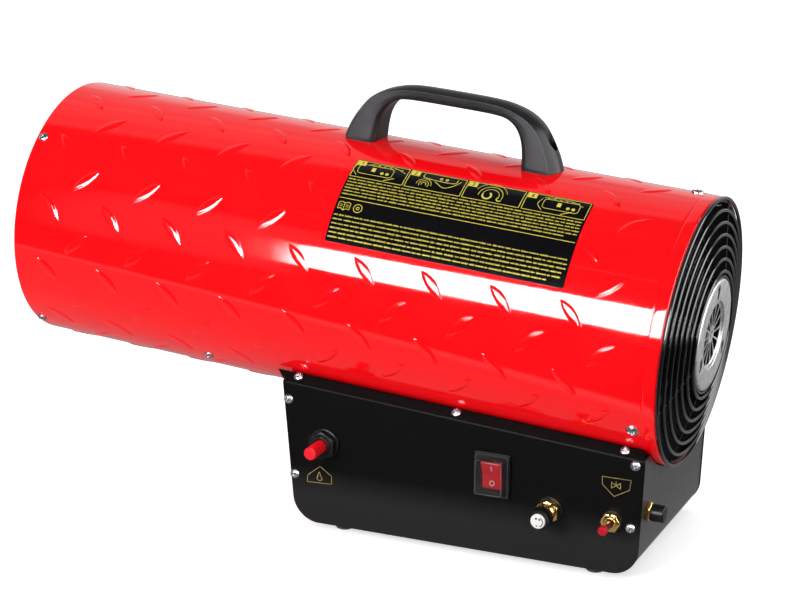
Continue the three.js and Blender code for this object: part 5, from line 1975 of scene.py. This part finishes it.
    def build_regulator(self) -> None:
        """The regulator: a black washer, a brass nut and thread, and a knurled knob with a pale cap."""
        place = on_panel(REGULATOR_SPOT)
        body = turned([[-34, 0], [-34, 9], [-30, 12], [-1.5, 12], [-1.5, 5.8], [1.0, 5.8], [1.0, 0]],
                      [0, 1, 1, 0.4, 0.3, 0.1, 0], 72)
        case = joined([body, self.threads(6.0, 1.2, 14.6, 1.0)])
        self.add("regulator_case", case, place, BRASS, "regulator_body")
        washer = turned([[0.3, 6.3], [0.3, 11], [1.6, 10.6], [1.6, 6.3]], 0.3, 72, ring=True)
        self.add("regulator_seal", washer, place, BLACK_PLASTIC, "regulator_washer")
        self.add("regulator_lock_nut", hex_nut(17, 6.3, 1.9, 6.6), place, BRASS, "regulator_nut")
        grip = self.knurled(8.9, 15.0, 27.6, 36)
        self.add("regulator_grip", grip, place, BLACK_PLASTIC, "regulator_knob", body="regulator_knob")
        cap = turned([[27.5, 0], [27.5, 6.1], [29.2, 6.0], [29.8, 5.4], [29.8, 0]], [0, 0.3, 0.5, 0.6, 0], 80)
        self.add("regulator_button", cap, place, WHITE_PLASTIC, "regulator_cap", body="regulator_knob")
        dots = [ribbon(arc(y, z, 0.5, 0, 360, 20), 0.8, 29.5, 29.95) for y, z in ((-1.1, 2.4), (1.7, 2.0))]
        bow = [ribbon(arc(0, 0, 4.3, -62, 58, 30), 0.7, 29.5, 29.95),
               ribbon(arc(-0.6, -3.6, 0.35, 0, 360, 16), 0.6, 29.5, 29.95)]
        self.add("regulator_dial_marks", joined(dots + bow), place, DARK_INK, body="regulator_knob")

    def knurled(self, radius: float, start: float, end: float, teeth: int) -> Shape:
        """A knob whose side is fluted: r = R - d (1 - cos(n a)) / 2, with d faded out at both ends.

        Args:
            radius: Greatest radius.
            start: Where it starts along X.
            end: Where it ends.
            teeth: Number of flutes.

        Returns:
            The closed knob, with its hidden spindle.
        """
        angle = (np.arange(teeth * 8) * TURN / (teeth * 8))[None, :]
        rows = [
            (-5, 0.0, 0), (-5, 3.2, 0), (start, 3.2, 0), (start, radius - 1.3, 0),
            (start + 0.5, radius - 0.5, 0.3), (start + 1.2, radius, 1), (end - 1.6, radius, 1),
            (end - 0.8, radius - 0.35, 0.4), (end, radius - 1.4, 0), (end, 0.0, 0)]
        x, r, fade = (np.array(column)[:, None] for column in zip(*rows))
        reach = r - 0.42 * fade * (1 - np.cos(teeth * angle))
        return surface(spread(x, reach * np.cos(angle), reach * np.sin(angle)), wrap_columns=True)

    def build_valve(self) -> None:
        """The gas valve: a washer, a brass nut and thread, a stem in the tip's red darkened as painted shade,
        and a red tip.
        """
        place = on_panel(VALVE_SPOT)
        body = turned([[-40, 0], [-40, 8], [-36, 10], [-1.5, 10], [-1.5, 4.8], [1.2, 4.8], [1.2, 3.1],
                       [-4.5, 3.1], [-4.5, 0]], [0, 1, 1, 0.4, 0.3, 0.1, 0.1, 0.1, 0], 72)
        collar = [[1.25, 3.15], [1.25, 4.9], [8.0, 4.9], [8.0, 3.15]]
        collar = turned(collar, [0.1, 0.2, 0.5, 0.3], 72, ring=True)
        self.add("valve_case", joined([body, collar]), place, BRASS, "valve_body")
        washer = turned([[0.3, 5.3], [0.3, 8.6], [1.4, 8.3], [1.4, 5.3]], 0.3, 72, ring=True)
        self.add("valve_seal", washer, place, BLACK_PLASTIC, "valve_washer")
        self.add("valve_lock_nut", hex_nut(14.5, 5.3, 1.7, 5.6).turned(30), place, BRASS, "valve_nut")
        # The stem's dark red is painted shade on the same red button.
        stem = rod(2.75, 2.4, 21.6, 0.2, 48)
        self.add("valve_stem", stem, place, STEM_RED_PAINTED_SHADE, body="gas_valve_button")
        tip = turned([[21.5, 0], [21.5, 3.7], [25.7, 3.9], [26.5, 3.0], [26.5, 0]], [0, 0.4, 0.6, 0.7, 0], 64)
        self.add("valve_push", tip, place, VALVE_RED, "gas_valve_button", body="gas_valve_button")

    def build_side_fittings(self) -> None:
        """The gas inlet with its cap on the right wall, and the cable gland on the left one."""
        y, z = INLET_SPOT
        right = BASE.at(self.inlet_wall + math.tan(RIGHT_LEAN) * z, y, z).facing(OUT_OF_RIGHT)
        union = joined([
            turned([[-10, 3.0], [-10, 6], [0.3, 6], [0.3, 3.0]], 0.3, 56, ring=True),
            hex_nut(15, 3.0, 0.35, 3.3),
            self.threads(5.4, 3.4, 12.6, 1.0),
        ])
        self.add("inlet_union", union, right, BRASS, "inlet_fitting")
        cap = turned([[12.9, 0], [12.9, 5.8], [4.0, 5.8], [4.0, 7.1], [13.8, 7.0], [14.7, 6.2], [14.7, 0]],
                     [0, 0.3, 0.3, 0.4, 0.7, 0.7, 0], 72)
        self.add("inlet_dust_cap", cap, right, BLACK_PLASTIC, "inlet_cap", body="inlet_cap")
        y, z = GLAND_SPOT
        left = BASE.at(self.gland_wall - math.tan(LEFT_LEAN) * z, y, z).facing(OUT_OF_LEFT)
        dome = [[6.0, 4], [6.0, 9.6], [12, 9.4], [17, 6.6], [17, 4]]
        gland = joined([
            turned([[-12, 4], [-12, 8], [-2, 8], [-2, 4]], 0.3, 56, ring=True),
            hex_nut(21, 4.0, 0.3, 5.6), hex_nut(21, 4.0, -6.5, 4.4),
            turned(dome, [0.3, 0.6, 2.5, 0.8, 0.3], 56, ring=True)])
        self.add("cord_gland", gland, left, BLACK_PLASTIC, "cable_gland")


# ---------------------------------------------------------------- studio
@dataclass(frozen=True)
class Card:
    """A glowing card that only mirrors show, in the plane of its four corners.

    Corners are in the base's millimetres. Its glow rises from the low to the high value between
    two places along X, and fades across Z within the fade of its lower and upper edge.
    """

    name: str
    corners: tuple[tuple[float, float, float], ...]
    low: float
    high: float
    rise_from: float
    rise_to: float
    edges: tuple[float, float] = (-9e3, 9e3)
    fade: float = 20.0

    def build(self) -> None:
        """Builds the card and its material."""
        mesh = bpy.data.meshes.new(self.name)
        mesh.from_pydata(BASE.put(np.array(self.corners, float)).tolist(), [], [(0, 1, 2, 3)])
        thing = bpy.data.objects.new(self.name, mesh)
        bpy.context.scene.collection.objects.link(thing)
        for way in ("camera", "diffuse", "transmission", "shadow", "volume_scatter"):
            setattr(thing, f"visible_{way}", False)
        sheet = NodeSheet(self.name)
        x, _, z = sheet.axes()
        here = BASE.origin * MM
        start, end = (here[0] + place * MM for place in (self.rise_from, self.rise_to))
        strength = sheet.step(x, start, end, self.low, self.high)
        low, high = (here[2] + edge * MM for edge in self.edges)
        for edge, side in ((low, 1.0), (high, -1.0)):
            start, end = sorted((edge, edge + side * self.fade * MM))
            ends = (0.0, 1.0) if side > 0 else (1.0, 0.0)
            strength = sheet.worked("MULTIPLY", strength, sheet.step(z, start, end, *ends))
        sheet.join(sheet.glow(strength), sheet.output.inputs["Surface"])
        mesh.materials.append(sheet.material)


CARDS = (
    Card("main_card", ((-720, -1500, 400), (420, -1500, 400), (420, -1500, 1090), (-720, -1500, 880)),
         0.0, 42.0, -712, -652),
    Card("main_edge", ((-860, -1502, 430), (-690, -1502, 430), (-690, -1502, 860), (-860, -1502, 830)),
         0.0, 3.2, -860, -740, (430, 860), 60),
    Card("right_card", ((1300, -1300, 0), (1300, 1200, 0), (1300, 1200, 1500), (1300, -1300, 1500)),
         8.0, 8.0, 0, 10, (0, 1500), 200),
    Card("left_card", ((-1300, -1501, 30), (-690, -1501, 30), (-690, -1501, 1480), (-1300, -1501, 1480)),
         0.0, 0.30, -1300, -1100, (30, 1480), 250),
    Card("high_strip", ((-1500, -1330, 1860), (-60, -1330, 1860), (-60, -1570, 2140), (-1500, -1570, 2140)),
         0.25, 1.5, -1400, -300, (1860, 2140), 130),
)


@dataclass(frozen=True)
class Studio:
    """A plain pale floor, soft lamps, a white room behind and the photograph's camera.

    The camera's angles and distance are in degrees and millimetres about a point of the base.
    """

    azimuth: float = 23.20
    elevation: float = 16.13
    roll: float = 0.53
    distance: float = 1929.3
    target: tuple[float, float, float] = (24.64, 0.0, 175.49)
    focal_pixels: float = 2287.73
    photo_width: float = 800.0
    sensor: float = 36.0
    ambient_low: float = 0.52
    ambient_high: float = 0.90
    key_radiance: float = 10.5
    floor_glow: float = 0.58
    mirrored_floor: float = 0.34
    floor_reach: float = 6.0
    floor_slant: float = 0.37
    floor_line: float = 0.293
    dark_room: float = 0.06
    bright_room: float = 0.66
    room_slant: float = 1.3
    seen_room: float = 1.3

    def build(self) -> None:
        """Builds the camera, the lamps, the cards, the floor and the world."""
        self.camera()
        self.softbox("key_softbox", (-315, -1500, 745), (0, -60, 200), (700, 610), self.key_radiance, -9.0)
        self.softbox("top_softbox", (100, 250, 1900), (0, 0, 200), (1500, 900), 1.8)
        for card in CARDS:
            card.build()
        self.floor()
        self.world()

    def axes(self) -> tuple[Vector, Vector, Vector]:
        """The camera's right, up and backward directions."""
        a, e, r = (math.radians(v) for v in (self.azimuth, self.elevation, self.roll))
        back = Vector((math.sin(a) * math.cos(e), -math.cos(a) * math.cos(e), math.sin(e)))
        right = Vector((math.cos(a), math.sin(a), 0))
        up = back.cross(right)
        return right * math.cos(r) + up * math.sin(r), up * math.cos(r) - right * math.sin(r), back

    def camera(self) -> None:
        """Sets the camera where the photograph's outlines place it."""
        right, up, back = self.axes()
        data = bpy.data.cameras.new("photo_camera")
        data.sensor_fit = "HORIZONTAL"
        data.sensor_width = self.sensor
        data.lens = self.focal_pixels / self.photo_width * self.sensor
        thing = bpy.data.objects.new("photo_camera", data)
        spot = Vector(BASE.put(np.array(self.target))) + back * self.distance * MM
        thing.matrix_world = Matrix.Translation(spot) @ Matrix((right, up, back)).transposed().to_4x4()
        bpy.context.scene.collection.objects.link(thing)
        bpy.context.scene.camera = thing

    def softbox(
        self,
        name: str,
        spot: tuple[float, float, float],
        aim: tuple[float, float, float],
        size: tuple[float, float],
        radiance: float,
        roll: float = 0.0,
    ) -> None:
        """Adds a rectangular lamp of a set brightness per area, which mirrors don't show.

        Args:
            name: The lamp's name.
            spot: Its middle, in the base's millimetres.
            aim: The point that it looks at.
            size: Its width and height.
            radiance: Its brightness, where 1 is white.
            roll: Its turn about its own axis, in degrees.
        """
        lamp = bpy.data.lights.new(name, "AREA")
        lamp.shape = "RECTANGLE"
        lamp.size, lamp.size_y = (side * MM for side in size)
        lamp.energy = radiance * math.pi * lamp.size * lamp.size_y
        thing = bpy.data.objects.new(name, lamp)
        thing.visible_glossy = False
        here, there = (Vector(BASE.put(np.array(p, float))) for p in (spot, aim))
        look = (there - here).to_track_quat("-Z", "Y").to_matrix().to_4x4()
        thing.matrix_world = Matrix.Translation(here) @ look @ Matrix.Rotation(math.radians(roll), 4, "Z")
        bpy.context.scene.collection.objects.link(thing)

    def floor(self) -> None:
        """Adds the floor: pale to lamps and white to the camera. Mirrors show it dark in front of
        a line that runs past the heater at a slant, and pale behind it, with a brighter rim."""
        mesh = bpy.data.meshes.new("studio_floor")
        corners = self.floor_reach * np.array([[-1, -1, 0], [1, -1, 0], [1, 1, 0], [-1, 1, 0]])
        mesh.from_pydata(corners.tolist(), [], [(0, 1, 2, 3)])
        thing = bpy.data.objects.new("studio_floor", mesh)
        bpy.context.scene.collection.objects.link(thing)
        sheet = NodeSheet("studio_floor")
        matt = sheet.node("ShaderNodeBsdfDiffuse", Color=(0.88, 0.88, 0.88, 1)).outputs["BSDF"]
        x, y, _ = sheet.axes()
        here = BASE.origin * MM
        beyond = sheet.worked("SUBTRACT", y, sheet.worked("MULTIPLY", x, self.floor_slant))
        line = here[1] - self.floor_slant * here[0] - self.floor_line
        past_line = sheet.worked("SUBTRACT", beyond, float(line))
        pale = sheet.step(past_line, -0.015, 0.015, 0.02, self.mirrored_floor)
        rise, fall = sheet.step(past_line, -0.01, 0.008), sheet.step(past_line, 0.012, 0.05, 0.35, 0.0)
        mirrored_glow = sheet.worked("ADD", pale, sheet.worked("MULTIPLY", rise, fall))
        both = sheet.node("ShaderNodeAddShader")
        sheet.join(matt, both.inputs[0])
        sheet.join(sheet.glow(self.floor_glow), both.inputs[1])
        rays = sheet.node("ShaderNodeLightPath").outputs
        mirrored = sheet.either(rays["Is Glossy Ray"], matt, sheet.glow(mirrored_glow))
        final = sheet.either(rays["Is Camera Ray"], mirrored, both.outputs["Shader"])
        sheet.join(final, sheet.output.inputs["Surface"])
        mesh.materials.append(sheet.material)

    def world(self) -> None:
        """Sets the room: white to the camera, even to matt surfaces, and in mirrors bright behind
        and over the heater, with a slanting edge overhead, and dark towards the camera."""
        sheet = NodeSheet("studio_room", room=True)
        bpy.context.scene.world = sheet.material
        x, y, z = sheet.axes()
        beyond = sheet.worked("SUBTRACT", y, sheet.worked("MULTIPLY", x, self.room_slant))
        streaks = sheet.node(
            "ShaderNodeTexNoise", noise_dimensions="1D", Scale=7.0, Detail=2.0, Roughness=0.5)
        sheet.join(beyond, streaks.inputs["W"])
        streaked = sheet.between(streaks.outputs["Fac"], 0.72, 1.12)
        sides = sheet.step(beyond, 0.60, 0.70, self.dark_room, self.bright_room)
        behind = sheet.worked("MULTIPLY", streaked, sides)
        horizon = sheet.worked("MULTIPLY", sheet.step(z, 0.30, 0.55, 1.0, 0.0), sheet.step(y, 0.05, 0.45))
        mirrored = sheet.worked("MAXIMUM", behind, horizon)
        rays = sheet.node("ShaderNodeLightPath").outputs
        ambient = sheet.step(z, -0.1, 0.75, self.ambient_low, self.ambient_high)
        unseen = sheet.blend(rays["Is Glossy Ray"], ambient, mirrored)
        background = sheet.node("ShaderNodeBackground")
        sheet.join(sheet.blend(rays["Is Camera Ray"], unseen, self.seen_room), background.inputs["Strength"])
        sheet.join(background.outputs["Background"], sheet.output.inputs["Surface"])


# ---------------------------------------------------------------- the whole heater
def main() -> None:
    """Builds the heater in order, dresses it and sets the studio."""
    logging.basicConfig(level=logging.INFO, format="%(name)s %(message)s")
    bpy.context.scene.view_settings.view_transform = "Standard"
    for assembly in (Tube(), Label(), Burner(), FanUnit(), Guard(), Handle(), Base(), Controls()):
        assembly.build()
        assembly.dress()
    dress_nodes({
        GALVANISED: ["shield_spacer_1", "shield_spacer_2", "shield_spacer_3"],
        ZINC: ["motor_shaft", "bearing_front", "bearing_rear"],
        CORE_IRON: ["stator_pack", "rotor_core"],
        COPPER: ["link_pipe", "burner_pipe", "thermocouple"],
        CABLE: ["ignition_lead", "motor_lead"],
        WHITE_PLASTIC: ["terminal_block"],
        BLACK_PLASTIC: ["overheat_switch"],
    })
    Studio().build()


if __name__ == "__main__":
    main()
